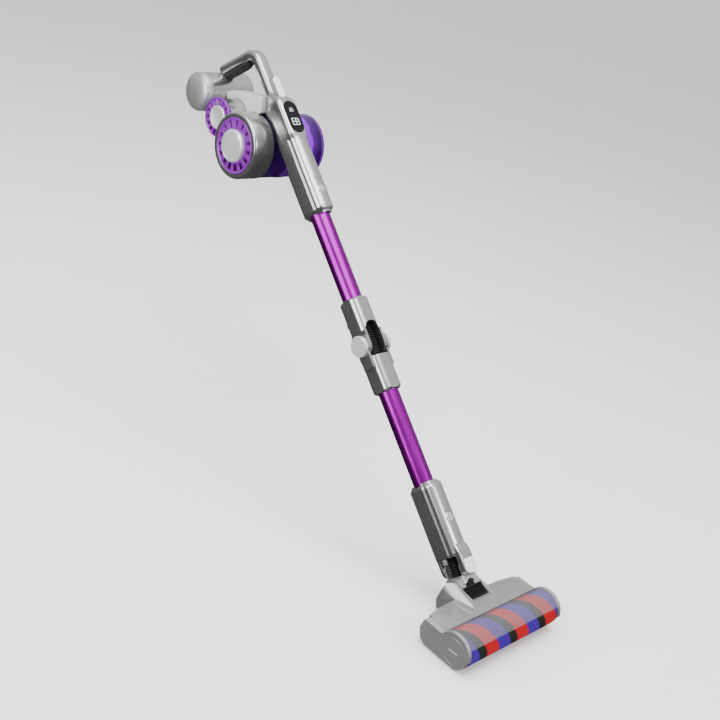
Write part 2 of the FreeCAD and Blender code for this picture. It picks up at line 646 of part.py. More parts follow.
def cup():
    y, s = "drum_y", DRUM_S
    left = "(-drum_right + fit_gap)"
    right = f"({left} + cup_length)"
    pin_s = f"({s} + cup_radius + hinge_rise)"
    lug = [box((f"{right} - 14", f"{right} + lid_thick - 1"), (f"{y} + {a}", f"{y} + {b}"),
               (f"{s} + cup_radius - 8", f"{pin_s} + 3.5")) for a, b in (("10.5", "14.5"), ("-14.5", "-10.5"))]
    tab = box(("14", "34"), (f"{y} - 9", f"{y} + 9"), (f"{s} - cup_radius - 4", f"{s} - cup_radius + 1"))
    keep("dust_cup", fuse(cut(
        fuse(rod("x", "cup_radius", left, right, y, s), *lug, tab),
        rod("x", "cup_radius - cup_wall", f"{left} - 1", f"{right} + 20", y, s),
        box((f"{right} - 0.01", f"{right} + 20"), (f"{y} - 60", f"{y} + 60"),
            (f"{s} - 70", f"{s} + cup_radius + 0.5")),
    ), rod("y", "1.5", f"{y} - 14.5", f"{y} + 14.5", f"{right} + 3", pin_s)), WAND)
    disc = around(y, s, [("0", "0"), ("0", "cup_radius - cup_wall - 3"), ("5.4", "cup_radius - cup_wall - 3"),
                         ("5.4", "cup_radius"), ("lid_thick + 4", "cup_radius"), ("lid_thick + 5", "cup_radius - 2"),
                         ("lid_thick + 5", "0")], f"{right} - 5")
    knuckle = fuse(
        rod("y", "3.2", f"{y} - 10", f"{y} + 10", f"{right} + 3", pin_s),
        box((f"{right} + 0.6", f"{right} + 5.6"), (f"{y} - 10", f"{y} + 10"), (f"{s} + cup_radius - 6", pin_s)),
    )
    keep("cup_lid", cut(
        fuse(disc, knuckle),
        rod("y", "1.5 + shaft_gap", f"{y} - 20", f"{y} + 20", f"{right} + 3", pin_s)), WAND)
    keep("lid_catch", box((f"{right} - 8", f"{right} + 4"), (f"{y} - 7", f"{y} + 7"),
                          (f"{s} - cup_radius - 4", f"{s} - cup_radius - 0.3")), WAND)
    core = cut(
        around(y, s, [("0", "0"), ("0", "cone_radius"), ("60", "cone_radius"), ("100", "cone_radius - 12"),
                      ("100", "0")], f"{left} + 0.3"),
        around(y, s, [("0", "0"), ("0", "cone_radius - 2"), ("60", "cone_radius - 2"), ("98", "cone_radius - 14"),
                      ("98", "0")], f"{left} - 0.7"),
    )
    keep("cyclone_core", core, WAND)


def pod():
    y, s = "pod_y", POD_S
    drum_room = rod("x", "drum_radius + fit_gap", "-100", "200", "drum_y", DRUM_S)
    keep("pod_shell", cut(
        rod("x", "pod_radius", "-pod_left + 4.1", "pod_right", y, s),
        rod("x", "pod_radius - pod_wall", "-pod_left + 3", "pod_right - pod_wall", y, s), drum_room), WAND)
    keep("pod_ring", cut(vent_ring("pod_radius", "pod_radius - 15", "-pod_left", "-pod_left + 4", y, s),
                         drum_room), WAND)
    keep("pod_cap", cut(around(y, s, [
        ("0", "0"), ("0", "pod_radius - 26"), ("3", "pod_radius - 16"), ("6", "pod_radius - 15.1"), ("6", "0")],
        "-pod_left - 1"), drum_room), WAND)
    keep("control_board", box(("-pod_left + 12", "pod_right - 8"), (f"{y} - 16", f"{y} + 16"),
                              (f"{s} + 10", f"{s} + 11.6")), WAND)


def battery():
    y, s = "battery_y", BATTERY_S
    pack_end = "(battery_right - 13)"
    slot = box(("-battery_left + 2", "-battery_left + 12"), (f"{y} - 5", f"{y} + 5"),
               (f"{s} + battery_radius - 10", f"{s} + 60"))
    keep("battery_sleeve", cut(
        fuse(cut(
            rod("x", "battery_radius", "-battery_left", "battery_right", y, s),
            rod("x", "battery_radius - battery_wall", "-battery_left - 1", "battery_right - battery_wall", y, s)),
            rod("x", "6", "battery_right - socket_length", "battery_right", y, s)),
        rod("x", "socket_radius", "battery_right - socket_length + 1", "battery_right + 1", y, s),
        slot), WAND)
    keep("battery_release", box(("-battery_left + 2.4", "-battery_left + 11.6"), (f"{y} - 4.6", f"{y} + 4.6"),
                                (f"{s} + battery_radius - battery_wall + 0.3", f"{s} + battery_radius + 1.2")), WAND)
    arc = [(f"-(battery_left + battery_collar) - dome_depth * cos({a})", f"(battery_radius - 1) * sin({a})")
           for a in range(15, 91, 15)]
    cap = around(y, s, [("-(battery_left + battery_collar) - dome_depth", "0"), *arc,
                        ("-(battery_left + battery_collar)", "battery_radius"),
                        ("-battery_left - run_gap", "battery_radius"), ("-battery_left - run_gap", "0")])
    keep("battery_cap", cap, WAND)
    inner = "(battery_radius - battery_wall - run_gap)"
    keep("battery_case", cut(
        rod("x", inner, "-battery_left - run_gap + 0.02", pack_end, y, s),
        rod("x", f"{inner} - 1.6", "-battery_left + 2", f"{pack_end} - 2", y, s),
        box(("-battery_left + 2", "-battery_left + 12"), (f"{y} - 5.4", f"{y} + 5.4"),
            (f"{s} + {inner} - 4.5", f"{s} + 60")),
    ), WAND)
    cells = [rod("x", "cell_radius", "-battery_left + 14", "-battery_left + 14 + cell_length", y, s)]
    for i in range(6):
        cells.append(rod("x", "cell_radius", "-battery_left + 14", "-battery_left + 14 + cell_length",
                         f"{y} + (2 * cell_radius + 0.3) * cos({60 * i})",
                         f"{s} + (2 * cell_radius + 0.3) * sin({60 * i})"))
    pack = doc.addObject("Part::Compound", "cells")
    pack.Links = cells
    keep("battery_cells", pack, WAND)


def bridge():
    block = outline("YZ_Plane", [
        ("rear_depth + fit_gap", f"{NECK_TOP} + 0.05"), ("strut_y + strut_depth + 1", f"{NECK_TOP} + shoulder_rise"),
        ("battery_y - battery_radius - 11", f"{BATTERY_S} - 26"), ("battery_y - 28", f"{BATTERY_S} - 18"),
        ("pod_y", f"{POD_S} + 9"), ("pod_y - pod_radius", "neck_low + neck_length + 5"),
    ], "-bridge_half", "bridge_half")
    keep("bridge_cover", cut(
        block,
        rod("x", "drum_radius + 2 * fit_gap", "-100", "200", "drum_y", DRUM_S),
        rod("x", "pod_radius + fit_gap", "-100", "100", "pod_y", POD_S),
        rod("x", "battery_radius + fit_gap", "-100", "100", "battery_y", BATTERY_S)), WAND)


# ---- elbow -----------------------------------------------------------------------------------------


def elbow():
    top, low, s, y = "elbow_top", "elbow_bottom", "elbow_s", "elbow_axis_y"
    inside = "(elbow_half - lug_thick)"

    def side_lug(side):
        near, far = side_span(side, inside, "elbow_half")
        return fuse(
            box((near, far), (f"{y} - lug_radius", f"{y} + lug_radius"), (s, f"{s} + elbow_clear + 1")),
            rod("x", "lug_radius", near, far, y, s))

    upper = common(fuse(
        rounded_block("elbow_half", "elbow_depth", "elbow_round", f"{s} + elbow_clear", top),
        *both_sides(side_lug),
        box((f"-{inside} - 1", f"{inside} + 1"), ("elbow_depth - 5", "elbow_depth - 1.5"),
            (f"{s} + 4", f"{s} + elbow_clear + 1")),
    ), end_cone(top, -1))
    bracket = both_sides(lambda side: box(
        side_span(side, "7.4", "9.6"), ("elbow_depth - 1", "elbow_depth + lever_gap + 3.4"),
        (f"{s} + 44", f"{s} + 52")))
    keep("elbow_upper", cut(
        fuse(upper, *bracket),
        rod("x", "1.6 + shaft_gap", "-20", "20", "elbow_depth + lever_gap + 1.2", f"{s} + 48"),
        rod("z", "duct_radius", f"{s} - 30", f"{top} + 1"),
        rod("z", TUBE_HOLE, f"{top} - tube_seat - fit_gap", f"{top} + 1"),
        rod("y", "duct_radius", "-60", "0", "0", f"{s} + elbow_clear"),
        rod("x", "hinge_pin_radius + shaft_gap", "-60", "60", y, s)), WAND)

    outer = "(elbow_half + 0.5)"

    def outer_lug(side):
        near, far = side_span(side, outer, f"{outer} + lug_thick")
        root = side_span(side, "elbow_half - 4", f"{outer} + lug_thick")
        return fuse(
            rod("x", "lug_radius", near, far, y, s),
            box((near, far), (f"{y} - 13", f"{y} + 13"), (f"{s} - 44", s)),
            box(root, (f"{y} - 13", f"{y} + 13"), (f"{s} - 44", f"{s} - elbow_clear")))

    lower = common(fuse(
        rounded_block("elbow_half", "elbow_depth", "elbow_round", low, f"{s} - elbow_clear"),
        *both_sides(outer_lug),
        box((f"-{inside} - 1", f"{inside} + 1"), ("elbow_depth - 5", "elbow_depth - 1.5"),
            (f"{s} - elbow_clear - 1", f"{s} - 2")),
    ), end_cone(low, 1))
    strike = box(("-5", "5"), ("elbow_depth - 1", "elbow_depth + 4"), (f"{s} - 38", f"{s} - 27"))
    keep("elbow_lower", cut(
        fuse(lower, strike),
        rod("z", "duct_radius", f"{low} - 1", f"{s} + 10"),
        rod("z", TUBE_HOLE, f"{low} - 1", f"{low} + tube_seat + fit_gap"),
        rod("x", "hinge_pin_radius + press_gap", "-60", "60", y, s)), WAND)
    keep("hinge_pins", fuse(*both_sides(lambda side: rod(
        "x", "hinge_pin_radius", *side_span(side, f"{inside} + 0.2", f"{outer} + lug_thick + 0.2"), y, s))),
        WAND)
    profile = [("0", "0"), ("0", "hinge_cap_radius"), ("hinge_cap_thick - 1", "hinge_cap_radius"),
               ("hinge_cap_thick", "hinge_cap_radius - 1"), ("hinge_cap_thick", "0")]
    keep("hinge_caps", fuse(*[
        around(y, s, [(f"{side}1 * ({a})", r) for a, r in profile], f"{side}1 * ({outer} + lug_thick + 0.3)")
        for side in ("", "-")]), WAND)
    feature("elbow_hose", hose_shape(size("elbow_s") - 42, size("elbow_s") + 44, size("duct_radius") - 0.8), WAND)

    lever_y = ("elbow_depth + lever_gap", "elbow_depth + lever_gap + 2.8")
    keep("fold_release_lever", fuse(
        box(("-7", "7"), lever_y, (f"{s} + 16", f"{s} + 70")),
        rod("x", "1.6", "-9", "9", "elbow_depth + lever_gap + 1.2", f"{s} + 48")), WAND)


# ---- neck yoke -------------------------------------------------------------------------------------


def yoke():
    ear_out, ear_in = "yoke_depth", "(yoke_depth - ear_thick)"
    ears = []
    for low, high in ((ear_in, ear_out), (f"-{ear_out}", f"-{ear_in}")):
        ears.append(box(("-ear_radius", "ear_radius"), (low, high), ("8", "swivel_s")))
        ears.append(rod("y", "ear_radius", low, high, "0", "swivel_s"))
    solid = fuse(
        rod("x", "barrel_radius", "-barrel_half", "barrel_half"),
        rounded_block("yoke_half", "yoke_depth", "rear_round", "6", "yoke_base"),
        *ears,
    )
    keep("neck_yoke", cut(
        solid,
        rod("x", "barrel_radius - 3", "-barrel_half + 4", "barrel_half - 4"),
        rod("z", "hose_radius", "0", "yoke_base + 1"),
        rod("y", "hose_radius - 2", "-40", "0"),
        rod("x", "pivot_pin_radius + shaft_gap", "-40", "40"),
        rod("y", "swivel_pin_radius + shaft_gap", "-40", "40", "0", "swivel_s")), WAND)
    feature("neck_hose", hose_shape(size("yoke_base") + 1, size("connector_low") + 6, size("hose_radius")), WAND)


# ---- floor head ------------------------------------------------------------------------------------

INNER_END = "(head_half - end_cap_thick)"
NOSE_IN = "(head_half - nose_thick)"
SHAFT_END = "(head_half - lock_cap_seat - 0.4)"
ROLLER_Z = "roller_radius"


def head_shells():
    span = (f"-{INNER_END} + 0.2", f"{INNER_END} - 0.2")
    side_view = outline("YZ_Plane", [
        ("cover_front", "head_top + 8"), ("cover_rear - 6", "head_top - 1", "rear_round"),
        ("cover_rear", "head_top - 8"), ("cover_rear", "head_split"), ("cover_front", "head_split"),
    ], *span)
    top_view = outline("XY_Plane", [
        (span[0], "cover_front - 1"), (span[1], "cover_front - 1"), (span[1], "cover_rear - 12"),
        ("46", "cover_rear"), ("-46", "cover_rear"), (span[0], "cover_rear - 12"),
    ], "0", "100")
    hollow = box((f"{span[0]} + cover_wall", f"{span[1]} - cover_wall"),
                 ("cover_front + cover_wall", "cover_rear - 15"), ("0", "head_top - 4"))

    def cheek(side):
        near, far = side_span(side, "cheek_in", "cheek_out")
        fin = outline("YZ_Plane", [
            ("-18", "head_top + 4"), ("pivot_y + 6", "pivot_z + 16", "cheek_round"),
            ("pivot_y + 16", "pivot_z + 8", "cheek_round"), ("pivot_y + 23", "pivot_z - 28", "cheek_round"),
            ("pivot_y + 18", "pivot_z - 43", "rear_round"), ("cover_rear - 8", "pivot_z - 43"),
            ("-18", "head_top - 10"),
        ], near, far)
        sign = "" if side == "1" else "-"
        flank = outline("XZ_Plane", [
            (f"{sign}1 * (cheek_in - 1)", "-1"), (f"{sign}1 * (cheek_out + 1)", "-1"),
            (f"{sign}1 * (cheek_out + 1)", "pivot_z - 6"), (f"{sign}1 * (cheek_in + 5)", "pivot_z + 20"),
            (f"{sign}1 * (cheek_in - 1)", "pivot_z + 20"),
        ], "-200", "200")
        return common(fin, flank)

    slot = box(("-cheek_in", "cheek_in"), ("apron_front - 1", "100"), ("0", "100"))
    arch = rod("x", "roller_radius + roller_gap", "-200", "200", "roller_y", ROLLER_Z)
    keep("head_cover", cut(
        fuse(cut(common(side_view, top_view), hollow, slot), *both_sides(cheek)),
        rod("x", "pivot_pin_radius + press_gap", "-cheek_out + 4", "cheek_out - 4", "pivot_y", "pivot_z"),
        arch,
        *[outline("YZ_Plane", [
            ("cover_front + 9", "head_top + 6.5 - recess"), ("cover_rear - 15", "head_top + 0.5 - recess"),
            ("cover_rear - 15", "100"), ("cover_front + 9", "100")], *side_span(side, "50", "104"))
          for side in ("1", "-1")],
    ), FLOOR)
    keep("pivot_pins", fuse(*both_sides(lambda side: rod(
        "x", "pivot_pin_radius", *side_span(side, "barrel_half - 3.6", "cheek_out - 4.1"),
        "pivot_y", "pivot_z"))), FLOOR)
    keep("head_base", cut(
        box((f"-{INNER_END} + 0.2", f"{INNER_END} - 0.2"), ("roller_y + 6", "cover_rear - 12.5"),
            ("sole_height", "head_split - 0.1")),
        arch,
        box(("-felt_half - fit_gap", "felt_half + fit_gap"),
            ("-felt_width / 2 - fit_gap", "felt_width / 2 + fit_gap"),
            ("0", "felt_height + fit_gap")),
        box(("-20", "20"), ("-60", "60"), ("11", "30")),
        *[box(side_span(side, "cheek_in - 0.2", "cheek_out + 0.2"), ("6", "60"), ("0", "30"))
          for side in ("1", "-1")],
        *[box(side_span(side, "wheel_x - wheel_width / 2 - 1.5", "wheel_x + wheel_width / 2 + 1.5"),
              ("wheel_y - wheel_radius - 1", "60"), ("0", "17.5")) for side in ("1", "-1")],
        *[rod("x", "axle_radius + press_gap", *side_span(side, "wheel_x - 9", "wheel_x + 9"),
              "wheel_y", "wheel_radius") for side in ("1", "-1")],
    ), FLOOR)
    keep("felt_strip", box(("-felt_half", "felt_half"), ("-felt_width / 2", "felt_width / 2"),
                           ("0", "felt_height")), FLOOR)
    visor = cut(
        rod("x", "hood_radius", f"-{NOSE_IN} + 0.2", f"{NOSE_IN} - 0.2", "roller_y", ROLLER_Z),
        rod("x", "hood_radius - hood_wall", "-200", "200", "roller_y", ROLLER_Z),
    )
    window = box(("-200", "200"), ("-200", "cover_front - 0.2"), ("hood_low", "200"))
    keep("hood", common(visor, window), FLOOR)


def end_caps():
    for side, name in (("1", "end_cap_right"), ("-1", "end_cap_left")):
        near, far = side_span(side, INNER_END, "head_half")
        rear = outline("YZ_Plane", [
            ("roller_y", "sole_height"), ("4", "sole_height"), ("cover_rear - 15", "9"),
            ("cover_rear - 8", "27", "rear_round"), ("cover_rear - 14", "head_top - 2", "rear_round"),
            ("cover_front", "head_top - 3"), ("cover_front", "head_top + 5"),
            ("roller_y", "roller_radius + hood_radius - 1"),
        ], near, far)
        nose = fuse(
            cut(rod("x", "hood_radius - 0.5", near, far, "roller_y", ROLLER_Z),
                box(("-200", "200"), ("-200", "200"), ("-50", ROLLER_Z))),
            cut(rod("x", "roller_radius - 1", near, far, "roller_y", ROLLER_Z),
                box(("-200", "200"), ("-200", "200"), ("-50", "sole_height"))))
        inside = side_span(side, f"{INNER_END} - 1", NOSE_IN)
        holes = [
            rod("x", "shaft_radius + shaft_gap", f"-{SHAFT_END} - fit_gap", f"{SHAFT_END} + fit_gap",
                "roller_y", ROLLER_Z),
            rod("x", "roller_radius + roller_gap", *inside, "roller_y", ROLLER_Z),
            box(inside, ("-200", "cover_front"), ("-10", "200")),
        ]
        if side == "-1":
            holes.append(rod("x", "lock_cap_radius + fit_gap", "-head_half - 4", "-head_half + lock_cap_seat",
                             "roller_y", ROLLER_Z))
        keep(name, cut(fuse(rear, nose), *holes), FLOOR)
    keep("roller_lock_cap", cut(
        rod("x", "lock_cap_radius", "-head_half", "-head_half + lock_cap_thick", "roller_y", ROLLER_Z),
        box(("-head_half - 1", "-head_half + 1.2"), ("roller_y - 9", "roller_y + 9"),
            (f"{ROLLER_Z} - 1", f"{ROLLER_Z} + 1"))), FLOOR)


def roller():
    """The roller turns on a stub at its -X end and round the fixed motor at its +X end."""
    core = "(roller_radius - pile_depth)"
    half = f"({NOSE_IN} - 0.8)"
    bore = f"({core} - roller_wall)"

    def disc(low, high):
        return rod("x", f"{bore} + 0.5", low, high, "roller_y", ROLLER_Z)

    keep("roller_core", cut(
        fuse(
            ring("x", core, bore, f"-{half}", half, "roller_y", ROLLER_Z),
            disc(f"-{half}", f"-{half} + 4"), disc(f"{half} - 4", half),
            disc("motor_start - 8", "motor_start - 4"),
            rod("x", "shaft_radius", f"-{SHAFT_END}", f"-{half} + 4", "roller_y", ROLLER_Z),
            rod("x", "shaft_radius", "motor_start - 4", "motor_start + 12", "roller_y", ROLLER_Z)),
        rod("x", "shaft_radius + shaft_gap", f"{half} - 5", f"{half} + 1", "roller_y", ROLLER_Z)), FLOOR)
    keep("roller_pile", ring("x", "roller_radius", f"{core} + press_gap", f"-{half}", half, "roller_y", ROLLER_Z),
         FLOOR)
    keep("brush_motor", cut(
        fuse(rod("x", "brush_motor_radius", "motor_start", f"{half} - 10", "roller_y", ROLLER_Z),
             rod("x", "shaft_radius", f"{half} - 11", SHAFT_END, "roller_y", ROLLER_Z)),
        rod("x", "shaft_radius + shaft_gap", "motor_start - 1", "motor_start + 13", "roller_y", ROLLER_Z)), FLOOR)


def bellows():
    """The ribbed rubber apron in front of the neck barrel, its ribs running across."""
    half = size("apron_half")
    start = V(-half, size("apron_front"), size("head_top") + 3)
    end = V(-half, size("pivot_y") - 15, size("pivot_z") + 14)
    run = end - start
    up = V(0, -run.z, run.y) / run.Length
    ribs = 7
    top = [start]
    for i in range(ribs):
        for share, lift in ((0.15, 0), (0.35, 2.2), (0.7, 2.2), (0.9, 0)):
            top.append(start + run * ((i + share) / ribs) + up * lift)
    top.append(end)
    below = [end - up * 2.5, start - up * 2.5]
    face = Part.Face(Part.makePolygon(top + below + [start]))
    feature("neck_bellows", face.extrude(V(2 * half, 0, 0)), FLOOR)


def wheels():
    for side, name in (("1", "wheel_right"), ("-1", "wheel_left")):
        span = side_span(side, "wheel_x - wheel_width / 2", "wheel_x + wheel_width / 2")
        keep(name, soften(ring("x", "wheel_radius", "axle_radius + shaft_gap", *span, "wheel_y", "wheel_radius"),
                          "slit", lambda e: e.BoundBox.ZLength > 10), FLOOR)
    keep("wheel_axles", fuse(*[
        rod("x", "axle_radius", *side_span(side, "wheel_x - 8.5", "wheel_x + 8.5"), "wheel_y", "wheel_radius")
        for side in ("1", "-1")]), FLOOR)


def check_and_write():
    """Stop on any failed feature or bad shape, then write every piece."""
    doc.recompute()
    failed = [f"{o.Name} in {[user.Label for user in o.InList]}: {o.getStatusString()}"
              for o in doc.Objects if {"Invalid", "Error"} & set(o.State)]
    if failed:
        raise RuntimeError("\n".join(failed))
    os.makedirs("parts", exist_ok=True)
    for piece in parts:
        if piece.Shape.isNull() or not piece.Shape.isValid():
            raise RuntimeError(f"{piece.Label} has no valid shape")
    for piece in parts:
        piece.Shape.exportStep(f"parts/{piece.Label}.step")
        print(f"{piece.Label:22s} solids {len(piece.Shape.Solids)}  volume {piece.Shape.Volume:10.0f} mm3")
    print(len(parts), "pieces")


connector()
keep("lower_tube", tube("connector_top - tube_seat", "elbow_bottom + tube_seat"), WAND)
elbow()
keep("upper_tube", tube("elbow_top - tube_seat", "neck_low + tube_seat"), WAND)
neck()
handle()
drum()
cup()
pod()
battery()
bridge()
yoke()
head_shells()
end_caps()
roller()
bellows()
wheels()
check_and_write()
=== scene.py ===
import json
import logging
import math
from dataclasses import dataclass, field
from enum import Enum

import bmesh
import bpy
import numpy as np
from mathutils import Matrix, Vector


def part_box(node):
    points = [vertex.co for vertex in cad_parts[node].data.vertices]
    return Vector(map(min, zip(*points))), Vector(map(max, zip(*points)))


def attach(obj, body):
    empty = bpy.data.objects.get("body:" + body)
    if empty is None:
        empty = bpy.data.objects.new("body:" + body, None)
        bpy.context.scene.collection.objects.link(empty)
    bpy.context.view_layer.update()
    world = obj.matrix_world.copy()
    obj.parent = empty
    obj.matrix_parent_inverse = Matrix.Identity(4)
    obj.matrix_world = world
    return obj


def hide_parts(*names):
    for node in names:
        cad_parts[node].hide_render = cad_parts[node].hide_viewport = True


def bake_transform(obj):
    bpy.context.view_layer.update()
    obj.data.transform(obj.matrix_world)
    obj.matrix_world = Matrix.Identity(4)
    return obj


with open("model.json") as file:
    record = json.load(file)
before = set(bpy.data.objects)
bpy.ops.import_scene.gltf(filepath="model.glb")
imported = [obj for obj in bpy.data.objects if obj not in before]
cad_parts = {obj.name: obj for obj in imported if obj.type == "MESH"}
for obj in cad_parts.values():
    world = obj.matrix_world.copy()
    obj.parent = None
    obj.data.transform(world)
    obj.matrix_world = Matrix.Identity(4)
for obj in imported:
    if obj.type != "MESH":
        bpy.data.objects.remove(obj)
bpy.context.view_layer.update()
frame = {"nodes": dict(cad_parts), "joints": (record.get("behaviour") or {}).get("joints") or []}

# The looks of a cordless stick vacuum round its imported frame. Shapes are worked out in millimetres in wand
# coordinates (x across, y to the rear, s along the wand from the neck pivot) or in the row frame, and turned
# into metres of the row frame when a mesh is made.

LOG = logging.getLogger("stick_vacuum")
MM = 0.001
TAU = 2 * math.pi
JOINTS = {joint["name"]: joint for joint in frame["joints"]}
Colour = tuple[float, float, float]


class Body(Enum):
    """The rigid bodies that new pieces ride on."""

    HANDHELD = "handheld"
    LOWER_WAND = "lower_wand"
    NECK = "neck"
    HEAD = "head"
    ROLLER = "roller"
    BATTERY = "battery_pack"


# ---- placing and meshing -----------------------------------------------------------------------------


@dataclass(frozen=True)
class WandFrame:
    """Wand coordinates: the pivot of the neck and the rearward and lengthwise directions, in metres."""

    pivot: tuple
    rear: tuple
    along: tuple

    def place(self, points: np.ndarray) -> np.ndarray:
        """Row-frame metres of points given in wand millimetres.

        Args:
            points: array (..., 3) of x, rearward y and lengthwise s.

        Returns:
            An array of the same shape: pivot + x across + y rear + s along.
        """
        across = np.array([1.0, 0.0, 0.0])
        axes = np.stack([across, np.array(self.rear), np.array(self.along)])
        return np.array(self.pivot) + (points * MM) @ axes


WAND = WandFrame(
    pivot=tuple(JOINTS["head_pitch"]["pos_m"]),
    rear=tuple(JOINTS["power_press"]["axis"]),
    along=tuple(-a for a in JOINTS["battery_release_press"]["axis"]),
)


def wand_yz(name: str) -> tuple[float, float]:
    """Rearward and lengthwise wand millimetres of the middle of a CAD node's box, for a round piece.

    Args:
        name: CAD node turned about an axis across the wand.

    Returns:
        Its axis's y and s.
    """
    low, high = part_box(name)
    middle = np.array((low + high) / 2) - np.array(WAND.pivot)
    return float(middle @ np.array(WAND.rear)) / MM, float(middle @ np.array(WAND.along)) / MM


@dataclass(frozen=True)
class Patch:
    """A closed surface: its points, its quads' corners and the many-sided faces that close its ends."""

    points: np.ndarray
    quads: np.ndarray
    ends: tuple[np.ndarray, ...] = ()


def loft(rings: np.ndarray) -> Patch:
    """Skin over closed rings, one after another along a path, the first and last closed with a face each.

    Args:
        rings: array (n, m, 3); vertex (i, j) joins (i, j + 1 mod m) and (i + 1, j).

    Returns:
        The patch, with n * m points.
    """
    n, m = rings.shape[:2]
    i, j = np.meshgrid(np.arange(n - 1), np.arange(m), indexing="ij")
    right = (j + 1) % m
    quads = np.stack([i * m + j, i * m + right, (i + 1) * m + right, (i + 1) * m + j], -1).reshape(-1, 4)
    return Patch(rings.reshape(-1, 3), quads, (np.arange(m)[::-1], np.arange((n - 1) * m, n * m)))


def hoop(rings: np.ndarray) -> Patch:
    """Skin over closed rings whose last joins the first, as in a turned hollow piece.

    Args:
        rings: array (n, m, 3), closed in both directions.

    Returns:
        The patch, with n * m points and no end faces.
    """
    n, m = rings.shape[:2]
    i, j = np.meshgrid(np.arange(n), np.arange(m), indexing="ij")
    right, on = (j + 1) % m, (i + 1) % n
    quads = np.stack([i * m + j, i * m + right, on * m + right, on * m + j], -1).reshape(-1, 4)
    return Patch(rings.reshape(-1, 3), quads)


def turned(profile: np.ndarray, axis_y: float, axis_s: float, around: int = 160) -> np.ndarray:
    """Rings of a turned piece about an axis across the wand.

    Args:
        profile: array (m, 2) of x along the axis and radius.
        axis_y: rearward place of the axis.
        axis_s: lengthwise place of the axis.
        around: rings round the axis.

    Returns:
        Array (around, m, 3): x, y = axis + r cos a, s = axis + r sin a.
    """
    angle = np.linspace(0, TAU, around, endpoint=False)[:, None]
    x = np.broadcast_to(profile[:, 0], (around, len(profile)))
    return np.stack([x, axis_y + profile[:, 1] * np.cos(angle), axis_s + profile[:, 1] * np.sin(angle)], -1)


def disc(profile: np.ndarray, axis_y: float, axis_s: float, around: int = 160) -> Patch:
    """A solid turned piece: its profile runs from near the axis, round the rim, and back to the axis.

    Args:
        profile: array (m, 2) of x and radius, first and last radius small but above zero.
        axis_y: rearward place of the axis.
        axis_s: lengthwise place of the axis.
        around: points round the axis.

    Returns:
        A closed patch whose rings are circles, one for each profile point.
    """
    return loft(turned(profile, axis_y, axis_s, around).transpose(1, 0, 2))


def rounded(corners: np.ndarray, radii: np.ndarray, steps: int = 7) -> np.ndarray:
    """Closed outlines with rounded corners, for many stations at once.

    Each corner becomes a quadratic curve from a point one radius before it to one a radius after it, drawn
    towards the corner.

    Args:
        corners: array (n, k, 2).
        radii: array (n, k).
        steps: points on each corner.

    Returns:
        Array (n, k * steps, 2).
    """
    before = np.roll(corners, 1, axis=1) - corners
    after = np.roll(corners, -1, axis=1) - corners
    reach_before = np.linalg.norm(before, axis=2, keepdims=True)
    reach_after = np.linalg.norm(after, axis=2, keepdims=True)
    room = np.minimum(reach_before, reach_after) * 0.49
    pull = np.minimum(radii[..., None], room)
    start = corners + before / np.maximum(reach_before, 1e-6) * pull
    end = corners + after / np.maximum(reach_after, 1e-6) * pull
    t = np.linspace(0, 1, steps)[None, None, :, None]
    curve = (1 - t) ** 2 * start[:, :, None] + 2 * t * (1 - t) * corners[:, :, None] + t**2 * end[:, :, None]
    return curve.reshape(corners.shape[0], -1, 2)


def fill_between(keys: np.ndarray, values: np.ndarray, spacing: float) -> tuple[np.ndarray, np.ndarray]:
    """Stations between key stations, eased from each to the next by 3t^2 - 2t^3.

    Args:
        keys: array (k,) of rising places.
        values: array (k, ...) of values at the keys.
        spacing: largest step between stations.

    Returns:
        The places and the values at them.
    """
    places, out = [], []
    for low, high, first, second in zip(keys[:-1], keys[1:], values[:-1], values[1:]):
        count = max(1, int(math.ceil((high - low) / spacing)))
        t = np.arange(count) / count
        places.append(low + (high - low) * t)
        ease = (3 * t**2 - 2 * t**3).reshape(-1, *([1] * first.ndim))
        out.append(first + (second - first) * ease)
    return np.concatenate([*places, keys[-1:]]), np.concatenate([*out, values[-1:]])


def make_piece(
    name: str,
    patches: list[Patch],
    finish: "Finish",
    body: Body | None,
    replaced: tuple[str, ...] = (),
    sharp: float = 38.0,
    in_wand: bool = True,
) -> bpy.types.Object:
    """A mesh object from patches, dressed and put on its body.

    Args:
        name: the piece's name.
        patches: closed patches in millimetres.
        finish: its material.
        body: the body it rides on, or None to leave it on no body.
        replaced: CAD nodes it stands for.
        sharp: faces meeting at more than this many degrees keep a crisp edge.
        in_wand: the points are in wand coordinates, not in the row frame.

    Returns:
        The object, at the origin, its place in its mesh.
    """
    faces, offset = [], 0
    for patch in patches:
        for group in (patch.quads, *(end[None] for end in patch.ends)):
            faces += (group + offset).tolist()
        offset += len(patch.points)
    cloud = np.concatenate([patch.points for patch in patches])
    placed = WAND.place(cloud) if in_wand else cloud * MM
    mesh = bpy.data.meshes.new(name)
    mesh.from_pydata(placed.tolist(), [], faces)
    work = bmesh.new()
    work.from_mesh(mesh)
    bmesh.ops.recalc_face_normals(work, faces=work.faces)
    work.to_mesh(mesh)
    work.free()
    mesh.polygons.foreach_set("use_smooth", np.ones(len(mesh.polygons), bool))
    mesh.set_sharp_from_angle(angle=math.radians(sharp))
    piece = bpy.data.objects.new(name, mesh)
    bpy.context.scene.collection.objects.link(piece)
    mesh.materials.append(finish.material())
    if body is not None:
        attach(piece, body.value)
    if replaced:
        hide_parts(*replaced)
    LOG.info("%s: %d vertices", name, len(cloud))
    return piece


# ---- finishes ------------------------------------------------------------------------------------------


